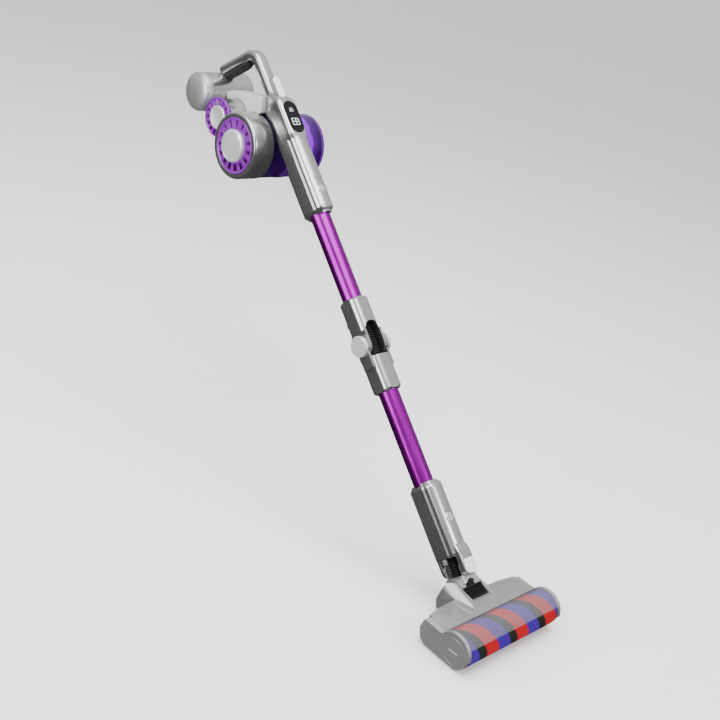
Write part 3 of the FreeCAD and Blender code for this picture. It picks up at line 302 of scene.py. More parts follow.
class Graph:
    """The node graph of one material, with short calls to add and join nodes."""

    def __init__(self, name: str) -> None:
        """Starts an empty graph with a principled shader.

        Args:
            name: the material's name.
        """
        self.material = bpy.data.materials.new(name)
        self.material.use_nodes = True
        self.tree = self.material.node_tree
        self.tree.nodes.clear()
        self.output = self.tree.nodes.new("ShaderNodeOutputMaterial")
        self.shader = self.tree.nodes.new("ShaderNodeBsdfPrincipled")
        self.join(self.shader.outputs[0], self.output.inputs["Surface"])
        self.place = self.tree.nodes.new("ShaderNodeTexCoord").outputs["Object"]

    def join(self, source: bpy.types.NodeSocket, target: bpy.types.NodeSocket) -> None:
        """Links two sockets."""
        self.tree.links.new(source, target)

    def put(self, **values: float | tuple) -> None:
        """Sets the shader's own sockets; underscores in a name stand for spaces."""
        for key, value in values.items():
            self.shader.inputs[key.replace("_", " ")].default_value = value

    def math(self, operation: str, first: object, second: object = 0.0) -> bpy.types.NodeSocket:
        """One math node.

        Args:
            operation: Blender's name of the operation.
            first: a socket or a number.
            second: a socket or a number.

        Returns:
            Its result.
        """
        node = self.tree.nodes.new("ShaderNodeMath")
        node.operation = operation
        for socket, value in zip(node.inputs, (first, second)):
            if isinstance(value, bpy.types.NodeSocket):
                self.join(value, socket)
            else:
                socket.default_value = value
        return node.outputs[0]

    def split(self, vector: bpy.types.NodeSocket) -> tuple:
        """The three parts of a vector socket.

        Args:
            vector: the socket.

        Returns:
            The sockets of x, y and z.
        """
        node = self.tree.nodes.new("ShaderNodeSeparateXYZ")
        self.join(vector, node.inputs[0])
        return node.outputs[0], node.outputs[1], node.outputs[2]

    def mapped(
        self, offset: tuple, stretch: tuple = (1, 1, 1), turn: tuple = (0, 0, 0)
    ) -> bpy.types.NodeSocket:
        """Object coordinates moved by -offset, then turned and stretched.

        Args:
            offset: the point that becomes the origin, in metres.
            stretch: scale on each axis.
            turn: rotation in radians.

        Returns:
            The mapped vector.
        """
        shift = self.tree.nodes.new("ShaderNodeVectorMath")
        shift.operation = "SUBTRACT"
        self.join(self.place, shift.inputs[0])
        shift.inputs[1].default_value = offset
        node = self.tree.nodes.new("ShaderNodeMapping")
        node.inputs["Rotation"].default_value = turn
        node.inputs["Scale"].default_value = stretch
        self.join(shift.outputs[0], node.inputs["Vector"])
        return node.outputs[0]

    def noise(
        self, scale: float, detail: float = 3.0, vector: bpy.types.NodeSocket | None = None
    ) -> bpy.types.NodeSocket:
        """A noise value from object coordinates.

        Args:
            scale: features per metre.
            detail: octaves.
            vector: other coordinates.

        Returns:
            The noise socket.
        """
        node = self.tree.nodes.new("ShaderNodeTexNoise")
        node.inputs["Scale"].default_value = scale
        node.inputs["Detail"].default_value = detail
        self.join(vector or self.place, node.inputs["Vector"])
        return node.outputs[0]

    def span(
        self, value: bpy.types.NodeSocket, low: float, high: float, start: float = 0.3, stop: float = 0.7
    ) -> bpy.types.NodeSocket:
        """A value mapped from start..stop to low..high.

        Args:
            value: the socket.
            low: result at start.
            high: result at stop.
            start: lowest input.
            stop: highest input.

        Returns:
            The mapped socket.
        """
        node = self.tree.nodes.new("ShaderNodeMapRange")
        self.join(value, node.inputs["Value"])
        for key, number in (("From Min", start), ("From Max", stop), ("To Min", low), ("To Max", high)):
            node.inputs[key].default_value = number
        return node.outputs[0]

    def blend(
        self, share: object, first: object, second: object, way: str = "MIX"
    ) -> bpy.types.NodeSocket:
        """Two colours mixed by a share.

        Args:
            share: the socket or number that mixes.
            first: colour or socket at 0.
            second: colour or socket at 1.
            way: Blender's name of the way they are mixed.

        Returns:
            The mixed colour.
        """
        node = self.tree.nodes.new("ShaderNodeMix")
        node.data_type = "RGBA"
        node.blend_type = way
        if isinstance(share, bpy.types.NodeSocket):
            self.join(share, node.inputs[0])
        else:
            node.inputs[0].default_value = share
        for socket, value in ((node.inputs[6], first), (node.inputs[7], second)):
            if isinstance(value, bpy.types.NodeSocket):
                self.join(value, socket)
            else:
                socket.default_value = (*value, 1)
        return node.outputs[2]

    def ramp(self, value: bpy.types.NodeSocket, stops: list[tuple[float, Colour]]) -> bpy.types.NodeSocket:
        """A colour looked up along stops.

        Args:
            value: the socket that is looked up.
            stops: places from 0 to 1 and their colours.

        Returns:
            The colour found.
        """
        node = self.tree.nodes.new("ShaderNodeValToRGB")
        self.join(value, node.inputs[0])
        ramp = node.color_ramp
        while len(ramp.elements) < len(stops):
            ramp.elements.new(0.5)
        for element, (place, colour) in zip(ramp.elements, stops):
            element.position = place
            element.color = (*colour, 1)
        return node.outputs[0]

    def colour(self, socket: bpy.types.NodeSocket) -> None:
        """Drives the base colour."""
        self.join(socket, self.shader.inputs["Base Color"])

    def rough(self, socket: bpy.types.NodeSocket) -> None:
        """Drives the roughness."""
        self.join(socket, self.shader.inputs["Roughness"])

    def bump(self, height: bpy.types.NodeSocket, depth: float, strength: float = 1.0) -> None:
        """Adds relief to the normal.

        Args:
            height: height from 0 to 1.
            depth: its depth in metres.
            strength: how strongly it is shown.
        """
        node = self.tree.nodes.new("ShaderNodeBump")
        node.inputs["Distance"].default_value = depth
        node.inputs["Strength"].default_value = strength
        self.join(height, node.inputs["Height"])
        self.join(node.outputs[0], self.shader.inputs["Normal"])


_MADE: dict[str, bpy.types.Material] = {}


@dataclass(frozen=True)
class Finish:
    """What every finish has: a name and a way to make its material once."""

    name: str

    def material(self) -> bpy.types.Material:
        """The material, made on first use.

        Returns:
            The same material each time for one name.
        """
        if self.name not in _MADE:
            graph = Graph(self.name)
            self.draw(graph)
            _MADE[self.name] = graph.material
        return _MADE[self.name]

    def draw(self, graph: Graph) -> None:
        """Fills the graph; each finish has its own.

        Args:
            graph: the material's node graph.
        """
        raise NotImplementedError


@dataclass(frozen=True)
class Lacquer(Finish):
    """Metallic lacquer over a moulding: fine flakes, soft cloudiness and a clear coat."""

    colour: Colour = (0.62, 0.62, 0.64)
    metallic: float = 0.8
    rough: tuple[float, float] = (0.26, 0.36)
    flake: float = 0.0000006
    coat: float = 0.35

    def draw(self, graph: Graph) -> None:
        """Flakes are a 0.5 mm noise in colour and relief; clouds are a 30 mm noise in roughness.

        Args:
            graph: the material's node graph.
        """
        graph.put(Metallic=self.metallic, Coat_Weight=self.coat, Coat_Roughness=0.12)
        flakes = graph.noise(2200.0, 2.0)
        clouds = graph.noise(30.0, 4.0)
        dark = tuple(c * 0.96 for c in self.colour)
        bright = tuple(min(1.0, c * 1.03) for c in self.colour)
        graph.colour(graph.blend(graph.span(flakes, 0.0, 1.0), dark, bright))
        graph.rough(graph.span(clouds, *self.rough))
        graph.bump(flakes, self.flake)


@dataclass(frozen=True)
class Anodised(Finish):
    """Coloured anodised tube, drawn lengthwise: long fine lines along the wand."""

    colour: Colour = (0.42, 0.02, 0.46)
    rough: tuple[float, float] = (0.16, 0.3)

    def draw(self, graph: Graph) -> None:
        """The draw lines are noise squeezed across the wand and stretched along it.

        Args:
            graph: the material's node graph.
        """
        graph.put(Metallic=0.95, Coat_Weight=0.0)
        tilt = math.atan2(WAND.along[1], WAND.along[2])
        lines = graph.noise(1.0, 4.0, graph.mapped(WAND.pivot, (900.0, 900.0, 6.0), (tilt, 0, 0)))
        clouds = graph.noise(14.0, 3.0)
        deep = tuple(c * 0.78 for c in self.colour)
        graph.colour(graph.blend(graph.span(clouds, 0.0, 1.0), deep, self.colour))
        graph.rough(graph.span(lines, *self.rough))
        graph.bump(lines, 0.000002)


@dataclass(frozen=True)
class Spun(Finish):
    """Spun metal disc: fine circular lines about an axis across the object."""

    centre: tuple = (0.0, 0.0, 0.0)
    colour: Colour = (0.93, 0.93, 0.94)
    rough: tuple[float, float] = (0.24, 0.4)
    line: float = 0.0006

    def draw(self, graph: Graph) -> None:
        """Line height is the sine of the distance from the axis over the line pitch, broken by noise.

        Args:
            graph: the material's node graph.
        """
        graph.put(Metallic=0.7, Coat_Weight=0.2, Coat_Roughness=0.15)
        _, y, z = graph.split(graph.mapped(self.centre))
        squares = graph.math("ADD", graph.math("MULTIPLY", y, y), graph.math("MULTIPLY", z, z))
        radius = graph.math("SQRT", squares)
        wave = graph.math("SINE", graph.math("MULTIPLY", radius, TAU / self.line))
        broken = graph.math("MULTIPLY", wave, graph.noise(120.0, 2.0))
        height = graph.span(broken, 0.0, 1.0, -0.5, 0.5)
        graph.rough(graph.span(height, *self.rough, 0.0, 1.0))
        graph.colour(graph.blend(height, tuple(c * 0.9 for c in self.colour), self.colour))
        graph.bump(height, 0.000012)


@dataclass(frozen=True)
class Moulded(Finish):
    """Moulded plastic or rubber: an even fine grain with faint colour drift."""

    colour: Colour = (0.08, 0.08, 0.09)
    rough: tuple[float, float] = (0.42, 0.58)
    grain: float = 900.0
    depth: float = 0.00003
    coat: float = 0.0
    sheen: float = 0.0
    gloss: float = 0.5

    def draw(self, graph: Graph) -> None:
        """Grain is a noise with its own pitch; colour drifts by an eighth over about 40 mm.

        Args:
            graph: the material's node graph.
        """
        graph.put(Coat_Weight=self.coat, Coat_Roughness=0.1, Sheen_Weight=self.sheen, Sheen_Roughness=0.4)
        graph.put(Specular_IOR_Level=self.gloss)
        grain = graph.noise(self.grain, 3.0)
        drift = graph.noise(25.0, 2.0)
        deep = tuple(c * 0.88 for c in self.colour)
        graph.colour(graph.blend(graph.span(drift, 0.0, 1.0), deep, self.colour))
        graph.rough(graph.span(grain, *self.rough))
        graph.bump(grain, self.depth)


@dataclass(frozen=True)
class Clear(Finish):
    """Clear tinted plastic: tinted light through it, a glossy face, faint moulding flow in the gloss."""

    colour: Colour = (0.3, 0.04, 0.85)
    through: float = 0.8
    alpha: float = 1.0
    rough: tuple[float, float] = (0.03, 0.08)
    coat: float = 0.4

    def draw(self, graph: Graph) -> None:
        """Roughness and tint drift with a slow noise, as moulded clear plastic does.

        Args:
            graph: the material's node graph.
        """
        graph.put(Transmission_Weight=self.through, IOR=1.38, Alpha=self.alpha, Coat_Weight=self.coat)
        graph.put(Coat_Roughness=0.04)
        flow = graph.noise(18.0, 2.0)
        deep = tuple(c * 0.9 for c in self.colour)
        graph.colour(graph.blend(graph.span(flow, 0.0, 1.0), deep, self.colour))
        graph.rough(graph.span(flow, *self.rough))


@dataclass(frozen=True)
class TintWithPaintedLight(Finish):
    """Clear cup with a violet tint and painted light: dark painted shade where parts lie behind it, bright
    violet painted light where light comes through.
    """

    dark: Colour = (0.016, 0.0005, 0.05)
    middle: Colour = (0.07, 0.001, 0.20)
    bright: Colour = (0.26, 0.002, 0.70)
    start: float = -0.015
    length: float = 0.122

    def draw(self, graph: Graph) -> None:
        """The colour is looked up along x, from the drum's side to the lid: its dark stops are painted shade
        and its bright violet stops painted light coming through the cup.

        Args:
            graph: the material's node graph.
        """
        graph.put(Transmission_Weight=0.3, IOR=1.3, Coat_Weight=0.15, Coat_Roughness=0.05)
        across, _, _ = graph.split(graph.place)
        share = graph.span(across, 0.0, 1.0, self.start, self.start + self.length)
        wavy = graph.math("ADD", share, graph.span(graph.noise(40.0, 2.0), -0.02, 0.02))
        # Painted shade and painted light through the cup, in bands along x over its violet tint.
        graph.colour(graph.ramp(wavy, [
            (0.0, self.dark), (0.33, self.dark), (0.36, self.middle), (0.50, self.dark), (0.55, self.middle),
            (0.60, self.bright), (0.80, self.bright), (0.83, self.middle), (1.0, self.dark)]))
        graph.rough(graph.span(graph.noise(18.0, 2.0), 0.04, 0.1))


@dataclass(frozen=True)
class PileBands(Finish):
    """Soft pile wound in a spiral of red, indigo and dark bands, with single fibres in tone and relief."""

    axis: tuple = (0.0, 0.0, 0.0)
    period: float = 0.080
    start: float = -0.016
    sway: float = 0.0045
    red: Colour = (0.36, 0.006, 0.010)
    indigo: Colour = (0.040, 0.010, 0.22)
    dark: Colour = (0.012, 0.016, 0.013)

    def draw(self, graph: Graph) -> None:
        """The band is the fraction of (x - start - f(a)) / period, a the angle from the top to the front.

        f(a) is one period per turn plus sway times the sine of a - 45 degrees.

        Args:
            graph: the material's node graph.
        """
        graph.put(Specular_IOR_Level=0.05)
        x, y, z = graph.split(graph.mapped(self.axis))
        angle = graph.math("ARCTAN2", graph.math("MULTIPLY", y, -1.0), z)
        lagging = graph.math("SUBTRACT", angle, math.radians(45))
        swing = graph.math("MULTIPLY", graph.math("SINE", lagging), self.sway)
        run = graph.math("ADD", graph.math("MULTIPLY", angle, self.period / TAU), swing)
        place = graph.math("SUBTRACT", graph.math("SUBTRACT", x, run), self.start)
        fuzz = graph.span(graph.noise(900.0, 2.0), -0.0011, 0.0011)
        wraps = graph.math("DIVIDE", graph.math("ADD", place, fuzz), self.period)
        share = graph.math("FRACT", graph.math("ADD", wraps, 8.0))
        edge = 0.004
        bands = graph.ramp(share, [
            (0.0, self.red), (0.385, self.red), (0.385 + edge, self.indigo), (0.76, self.indigo),
            (0.76 + edge, self.dark), (1.0 - edge, self.dark), (1.0, self.red)])
        fibre = graph.noise(2600.0, 2.0)
        tuft = graph.noise(420.0, 3.0)
        tone = graph.blend(graph.span(fibre, 0.0, 1.0), (0.62, 0.62, 0.62), (1.25, 1.25, 1.25))
        graph.colour(graph.blend(1.0, bands, tone, "MULTIPLY"))
        graph.rough(graph.span(tuft, 0.75, 0.95))
        graph.bump(graph.math("ADD", fibre, tuft), 0.00035, 0.7)


@dataclass(frozen=True)
class Pleats(Finish):
    """Filter paper folded into pleats round an axis across the object."""

    centre: tuple = (0.0, 0.0, 0.0)
    colour: Colour = (0.16, 0.10, 0.20)
    count: float = 90.0

    def draw(self, graph: Graph) -> None:
        """Pleat height is the sine of the angle round the axis times the count of pleats; the same height
        darkens the colour to three tenths in the hollows, a painted shade.

        Args:
            graph: the material's node graph.
        """
        graph.put(Sheen_Weight=0.2)
        _, y, z = graph.split(graph.mapped(self.centre))
        angle = graph.math("ARCTAN2", y, z)
        fold = graph.span(graph.math("SINE", graph.math("MULTIPLY", angle, self.count)), 0.0, 1.0, -1.0, 1.0)
        # Painted shade: the pleats' hollows are darkened to three tenths of the paper's colour.
        graph.colour(graph.blend(fold, tuple(c * 0.3 for c in self.colour), self.colour))
        graph.rough(graph.span(graph.noise(1500.0), 0.8, 0.95))
        graph.bump(fold, 0.0008)


@dataclass(frozen=True)
class Board(Finish):
    """Circuit board: green mask, copper runs and dark parts on a grid."""

    mask: Colour = (0.01, 0.09, 0.035)
    copper: Colour = (0.03, 0.20, 0.08)

    def draw(self, graph: Graph) -> None:
        """Runs are the edges of a cell pattern; parts are its darkest cells.

        Args:
            graph: the material's node graph.
        """
        node = graph.tree.nodes.new("ShaderNodeTexVoronoi")
        node.distance = "MANHATTAN"
        node.inputs["Scale"].default_value = 260.0
        graph.join(graph.place, node.inputs["Vector"])
        lines = graph.span(node.outputs["Distance"], 0.0, 1.0, 0.32, 0.4)
        graph.put(Coat_Weight=0.5)
        graph.colour(graph.blend(lines, self.mask, self.copper))
        graph.rough(graph.span(node.outputs["Distance"], 0.25, 0.5))
        graph.bump(lines, 0.0001)


@dataclass(frozen=True)
class Lit(Finish):
    """A lit display segment: a bright core that fades a little across its width."""

    colour: Colour = (0.85, 0.9, 1.0)
    strength: float = 0.9

    def draw(self, graph: Graph) -> None:
        """Brightness drifts with a slow noise, as in a printed lit segment.

        Args:
            graph: the material's node graph.
        """
        graph.put(Emission_Strength=self.strength, Roughness=0.4)
        drift = graph.noise(300.0)
        colour = graph.blend(graph.span(drift, 0.0, 1.0), tuple(c * 0.85 for c in self.colour), self.colour)
        graph.colour(colour)
        graph.join(colour, graph.shader.inputs["Emission Color"])


def row_centre(name: str) -> tuple:
    """The middle of a CAD node's box.

    Args:
        name: the CAD node.

    Returns:
        Its middle in metres of the row frame.
    """
    low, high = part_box(name)
    return tuple((low + high) / 2)


SILVER = Lacquer("silver_lacquer", colour=(0.46, 0.46, 0.465), metallic=0.95, rough=(0.2, 0.25))
SATIN = Lacquer("satin_silver", colour=(0.42, 0.42, 0.43), metallic=0.8, rough=(0.32, 0.42), coat=0.2)
HEAD_SILVER = Lacquer("head_silver", colour=(0.40, 0.40, 0.405), metallic=0.85, rough=(0.3, 0.42), coat=0.25)
BRIGHT = Lacquer("bright_silver", colour=(0.85, 0.85, 0.87), metallic=0.9, rough=(0.14, 0.22), coat=0.6)
LIGHT_GREY = Moulded("light_grey", colour=(0.60, 0.60, 0.61), rough=(0.4, 0.5), depth=0.00002)
SOFT_BLACK = Moulded("soft_black", colour=(0.014, 0.014, 0.015), rough=(0.42, 0.55), gloss=0.3)
RUBBER = Moulded(
    "hose_rubber", colour=(0.006, 0.006, 0.0065), rough=(0.3, 0.42), grain=500.0, depth=0.00002, gloss=0.25)
DARK_GREY = Moulded("dark_grey", colour=(0.07, 0.07, 0.078), rough=(0.4, 0.55))
MID_GREY = Moulded("mid_grey", colour=(0.22, 0.22, 0.23), rough=(0.35, 0.45), coat=0.2)
GLOSS_BLACK = Moulded(
    "gloss_black", colour=(0.003, 0.003, 0.004), rough=(0.3, 0.4), depth=0.000004, gloss=0.15)
WHITE = Moulded("button_white", colour=(0.88, 0.88, 0.89), rough=(0.2, 0.28), depth=0.000006, coat=0.5)
PURPLE = Moulded("purple_trim", colour=(0.17, 0.003, 0.29), rough=(0.26, 0.34), depth=0.000006, coat=0.15)
# Painted shade: a darkened copy of the purple trim, for the plate behind the grilles' vanes.
PURPLE_PAINTED_SHADE = Moulded(
    "purple_painted_shade", colour=(0.035, 0.001, 0.06), rough=(0.4, 0.5), depth=0.00002, gloss=0.2)
TUBE = Anodised("magenta_anodised", colour=(0.28, 0.001, 0.31), rough=(0.22, 0.3))
VIOLET = TintWithPaintedLight("violet_clear")
VIOLET_DARK = Clear("violet_dark", colour=(0.10, 0.004, 0.26), through=0.3, rough=(0.08, 0.16))
SMOKE = Clear("smoke_clear", colour=(0.40, 0.40, 0.42), through=0.0, alpha=0.13, rough=(0.06, 0.1), coat=0.0)
GLASS = Moulded("display_glass", colour=(0.003, 0.003, 0.004), rough=(0.2, 0.26), depth=0.000002, gloss=0.2)
STEEL = Lacquer("turned_steel", colour=(0.5, 0.5, 0.52), metallic=1.0, rough=(0.25, 0.35), coat=0.0)
MOTOR = Lacquer("motor_casing", colour=(0.32, 0.32, 0.34), metallic=0.9, rough=(0.35, 0.5), coat=0.0)
CELLS = Moulded("cell_wrap", colour=(0.03, 0.14, 0.32), rough=(0.25, 0.35), coat=0.4)
FELT = Moulded("felt", colour=(0.05, 0.05, 0.055), rough=(0.85, 0.95), grain=1400.0, depth=0.0003, sheen=0.6)
BOARD = Board("circuit_board")
SEGMENT = Lit("lit_segment")


@dataclass(frozen=True)
class EdgeBreak:
    """Rounding put on a CAD node's crisp edges: width in millimetres and the least angle between faces."""

    width: float = 1.0
    angle: float = 30.0
    steps: int = 3


@dataclass
class Frame:
    """The CAD nodes that stay in view, each with its finish and the rounding of its edges."""

    broad: EdgeBreak = EdgeBreak(2.2, steps=4)
    soft: EdgeBreak = EdgeBreak(1.2)
    fine: EdgeBreak = EdgeBreak(0.5)
    none: EdgeBreak = EdgeBreak(0.0)
    weld_reach: float = 0.000002
    flat_degrees: float = 0.4
    dress: dict[str, tuple[Finish, EdgeBreak]] = field(default_factory=dict)

    def __post_init__(self) -> None:
        """Lists each node's finish and rounding."""
        soft, fine, none = self.soft, self.fine, self.none
        self.dress = {
            "display_bezel": (GLOSS_BLACK, none), "display_window": (GLASS, none),
            "display_board": (GLOSS_BLACK, none), "button_housing": (MID_GREY, soft),
            "power_button": (WHITE, fine), "wand_release_button": (BRIGHT, none),
            "hepa_filter": (Pleats("filter_pleats", centre=row_centre("drum_cap")), none),
            "fan_motor": (MOTOR, none), "fan": (DARK_GREY, none), "dust_cup": (VIOLET, none),
            "cup_lid": (VIOLET_DARK, fine), "lid_catch": (VIOLET, fine), "cyclone_core": (MID_GREY, none),
            "pod_shell": (SILVER, none), "control_board": (BOARD, none), "battery_sleeve": (SILVER, fine),
            "battery_release": (MID_GREY, fine), "battery_case": (DARK_GREY, none),
            "battery_cells": (CELLS, none),
            "bridge_cover": (LIGHT_GREY, soft), "upper_tube": (TUBE, none), "lower_tube": (TUBE, none),
            "elbow_upper": (SILVER, self.broad), "elbow_lower": (SILVER, self.broad),
            "hinge_pins": (STEEL, none),
            "hinge_caps": (Spun("hinge_spun", centre=row_centre("hinge_caps")), none),
            "fold_release_lever": (MID_GREY, soft), "swivel_cap": (WHITE, fine), "swivel_pins": (STEEL, none),
            "head_release_button": (BRIGHT, none), "neck_yoke": (SATIN, fine),
            "head_cover": (HEAD_SILVER, fine),
            "head_base": (DARK_GREY, none), "pivot_pins": (STEEL, none), "felt_strip": (FELT, none),
            "end_cap_right": (SATIN, soft), "end_cap_left": (SATIN, soft),
            "roller_lock_cap": (SATIN, fine), "roller_core": (DARK_GREY, none), "brush_motor": (MOTOR, none),
            "wheel_right": (SOFT_BLACK, none), "wheel_left": (SOFT_BLACK, none), "wheel_axles": (STEEL, none),
        }

    def build(self) -> None:
        """Dresses every node and reports how many."""
        for name, (finish, edges) in self.dress.items():
            node = frame["nodes"][name]
            node.data.materials.clear()
            node.data.materials.append(finish.material())
            self.finish_edges(node, edges)
        LOG.info("dressed %d CAD nodes", len(self.dress))

    def finish_edges(self, node: bpy.types.Object, edges: EdgeBreak) -> None:
        """Joins the node's loose triangles and rounds or splits its crisp edges.

        Args:
            node: the CAD node.
            edges: the rounding, or zero width for crisp edges.
        """
        mesh = node.data
        for attribute in ("custom_normal", "sharp_face", "sharp_edge"):
            if attribute in mesh.attributes:
                mesh.attributes.remove(mesh.attributes[attribute])
        weld = node.modifiers.new("join", "WELD")
        weld.merge_threshold = self.weld_reach
        if edges.width:
            flat = node.modifiers.new("flats", "DECIMATE")
            flat.decimate_type = "DISSOLVE"
            flat.angle_limit = math.radians(self.flat_degrees)
            bevel = node.modifiers.new("edges", "BEVEL")
            bevel.width = edges.width * MM
            bevel.segments = edges.steps
            bevel.limit_method = "ANGLE"
            bevel.angle_limit = math.radians(edges.angle)
            bevel.harden_normals = False
            even = node.modifiers.new("even", "WEIGHTED_NORMAL")
            even.keep_sharp = False
        else:
            crisp = node.modifiers.new("crisp", "EDGE_SPLIT")
            crisp.split_angle = math.radians(edges.angle)


# ---- sections and long pieces ----------------------------------------------------------------------------

# Half outlines from the middle of the rear to the middle of the front: x, rearward y, corner radius.
SHELL = np.array([
    [13, 28, 3], [21, 17, 4], [21, -11.6, 1.4], [19, -13.4, 1.0], [18.3, -21.5, 6], [14, -27.6, 5],
    [5, -29.6, 6]], float)
WAIST = np.array([
    [9, 8.6, 2], [20, 8.5, 4], [20, -11.6, 1.4], [18.6, -13.4, 1.0], [18, -21.5, 6], [14, -27.4, 5],
    [5, -29.3, 6]], float)
HOUSING = np.array([
    [9, 8.6, 2], [20, 8.5, 4], [21, -6, 5], [21.6, -16, 6], [21.4, -25, 5], [17, -28.8, 4],
    [5, -29.3, 4]], float)
STRUT = np.array([
    [5, 8.8, 3], [11, 8.4, 6], [12.6, 3, 5], [12.9, -2, 5], [12.2, -6.6, 5], [9, -10.0, 6],
    [3, -10.4, 3]], float)
GRIP = np.array([
    [5, 8.5, 3], [11.4, 8.2, 5], [12.9, 3, 5], [13.2, -2, 5], [12.2, -6.6, 6], [9, -10.0, 6],
    [3, -10.4, 3]], float)
SEAM_SHARE = 0.975


def whole(half: np.ndarray) -> tuple[np.ndarray, np.ndarray]:
    """Full outlines from half ones, mirrored across x = 0.

    Args:
        half: array (n, k, 3) of x, y and radius from rear to front on the +x side.

    Returns:
        Corners (n, 2k, 2) and radii (n, 2k).
    """
    other = half[:, ::-1] * np.array([-1, 1, 1])
    both = np.concatenate([half, other], axis=1)
    return both[..., :2], both[..., 2]


def section_loft(stations: list[tuple[float, np.ndarray]], spacing: float = 3.0) -> Patch:
    """A straight loft along s through half outlines.

    Args:
        stations: (s, half outline (k, 3)) in rising s.
        spacing: largest step.

    Returns:
        The closed patch in wand coordinates.
    """
    keys = np.array([s for s, _ in stations], float)
    places, halves = fill_between(keys, np.stack([half for _, half in stations]), spacing)
    outlines = rounded(*whole(halves))
    along = np.broadcast_to(places[:, None, None], (*outlines.shape[:2], 1))
    return loft(np.concatenate([outlines, along], -1))


def shrunk(half: np.ndarray, share: float, radius: float = 0.0) -> np.ndarray:
    """A half outline scaled about the axis.

    Args:
        half: half outline (k, 3).
        share: scale of x and y.
        radius: added to every corner's radius.

    Returns:
        The scaled half outline.
    """
    out = half * np.array([share, share, 1.0])
    out[:, 2] += radius
    return out


def seam_stations(seam: float) -> list[tuple[float, np.ndarray]]:
    """A fine groove round the shell at a seam.

    Args:
        seam: its place along the wand.

    Returns:
        Four stations: the shell, the groove's two sides, and the shell again.
    """
    groove = shrunk(SHELL, SEAM_SHARE)
    return [(seam - 0.7, SHELL), (seam - 0.2, groove), (seam + 0.4, groove), (seam + 0.9, SHELL)]


@dataclass
class Spine:
    """The neck shell, display housing, strut, bend and grip as one smooth skin."""

    low: float = 711.0
    chamfer: float = 9.0
    seam: float = 775.0
    bend_start: float = 1037.0
    bend_radius: float = 24.0
    strut_middle: float = -1.0
    turn: float = math.radians(76)
    grip: float = 90.0
    shell_end: float = 806.0
    waist: float = 856.0
    housing: tuple[float, float] = (873.0, 934.0)
    strut: tuple[float, float] = (968.0, 1000.0)
    web_span: tuple[float, float] = (812.0, 962.0)
    web_half: float = 8.8
    web_front: float = 4.0
    web_rear: float = 27.0
    drum_radius: float = 62.2

    def stations(self) -> tuple[np.ndarray, np.ndarray]:
        """Half outlines along the path, from the shell's chamfered foot to the rounded end of the grip.

        Returns:
            Places along the path and the half outline at each.
        """
        shift = np.array([0, self.strut_middle, 0])
        strut, grip = STRUT - shift, GRIP - shift
        bend_end = self.bend_start + self.bend_radius * self.turn
        end = bend_end + self.grip
        table = [
            (self.low, shrunk(SHELL, 0.80, 3)), (self.low + self.chamfer, SHELL), *seam_stations(self.seam),
            (self.shell_end, SHELL), (self.waist, WAIST), (self.housing[0], HOUSING),
            (self.housing[1], HOUSING), (self.strut[0], STRUT)]
        late = [
            (self.strut[1], strut), (self.bend_start, strut), (bend_end, strut), (bend_end + 22, grip),
            (end - 12, grip), (end - 4, shrunk(grip, 0.84)), (end - 1, shrunk(grip, 0.62)),
            (end, shrunk(grip, 0.3))]
        halves = [half - shift for _, half in table] + [half for _, half in late]
        keys = np.array([s for s, _ in table] + [s for s, _ in late], float)
        return fill_between(keys, np.stack(halves), 2.5)

    def build(self) -> None:
        """Each station's outline is turned with the path: straight, round the bend, then along the grip."""
        places, halves = self.stations()
        outlines = rounded(*whole(halves), steps=8)
        turn = np.clip((places - self.bend_start) / self.bend_radius, 0, self.turn)
        centre_y = self.strut_middle + self.bend_radius
        beyond = np.maximum(places - self.bend_start - self.bend_radius * self.turn, 0)
        before = np.minimum(places, self.bend_start)
        path_y = centre_y - self.bend_radius * np.cos(turn) + beyond * np.sin(turn)
        path_s = before + self.bend_radius * np.sin(turn) + beyond * np.cos(turn)
        out_y, out_s = np.cos(turn)[:, None], -np.sin(turn)[:, None]
        rings = np.stack([
            outlines[..., 0], path_y[:, None] + outlines[..., 1] * out_y,
            path_s[:, None] + outlines[..., 1] * out_s], -1)
        make_piece("spine", [loft(rings), self.web()], SILVER, Body.HANDHELD,
                   ("neck_shell", "handle_frame"))

    def web(self) -> Patch:
        """The narrow web that carries the drum, its rear hollowed to the drum's circle.

        The rear is y = axis - sqrt(radius^2 - (s - axis)^2), and no further than web_rear.

        Returns:
            The closed patch in wand coordinates.
        """
        axis_y, axis_s = wand_yz("drum_cap")
        s = np.linspace(*self.web_span, 60)
        off = s - axis_s
        inside = np.sqrt(np.maximum(self.drum_radius**2 - off**2, 0))
        circle = np.where(np.abs(off) < self.drum_radius, axis_y - inside, self.web_rear)
        rear = np.minimum(circle, self.web_rear)
        side, front = np.full_like(s, self.web_half), np.full_like(s, self.web_front)
        corners = [(-side, front), (-side, rear), (side, rear), (side, front)]
        return loft(np.stack([np.stack([x, y, s], -1) for x, y in corners], 1))


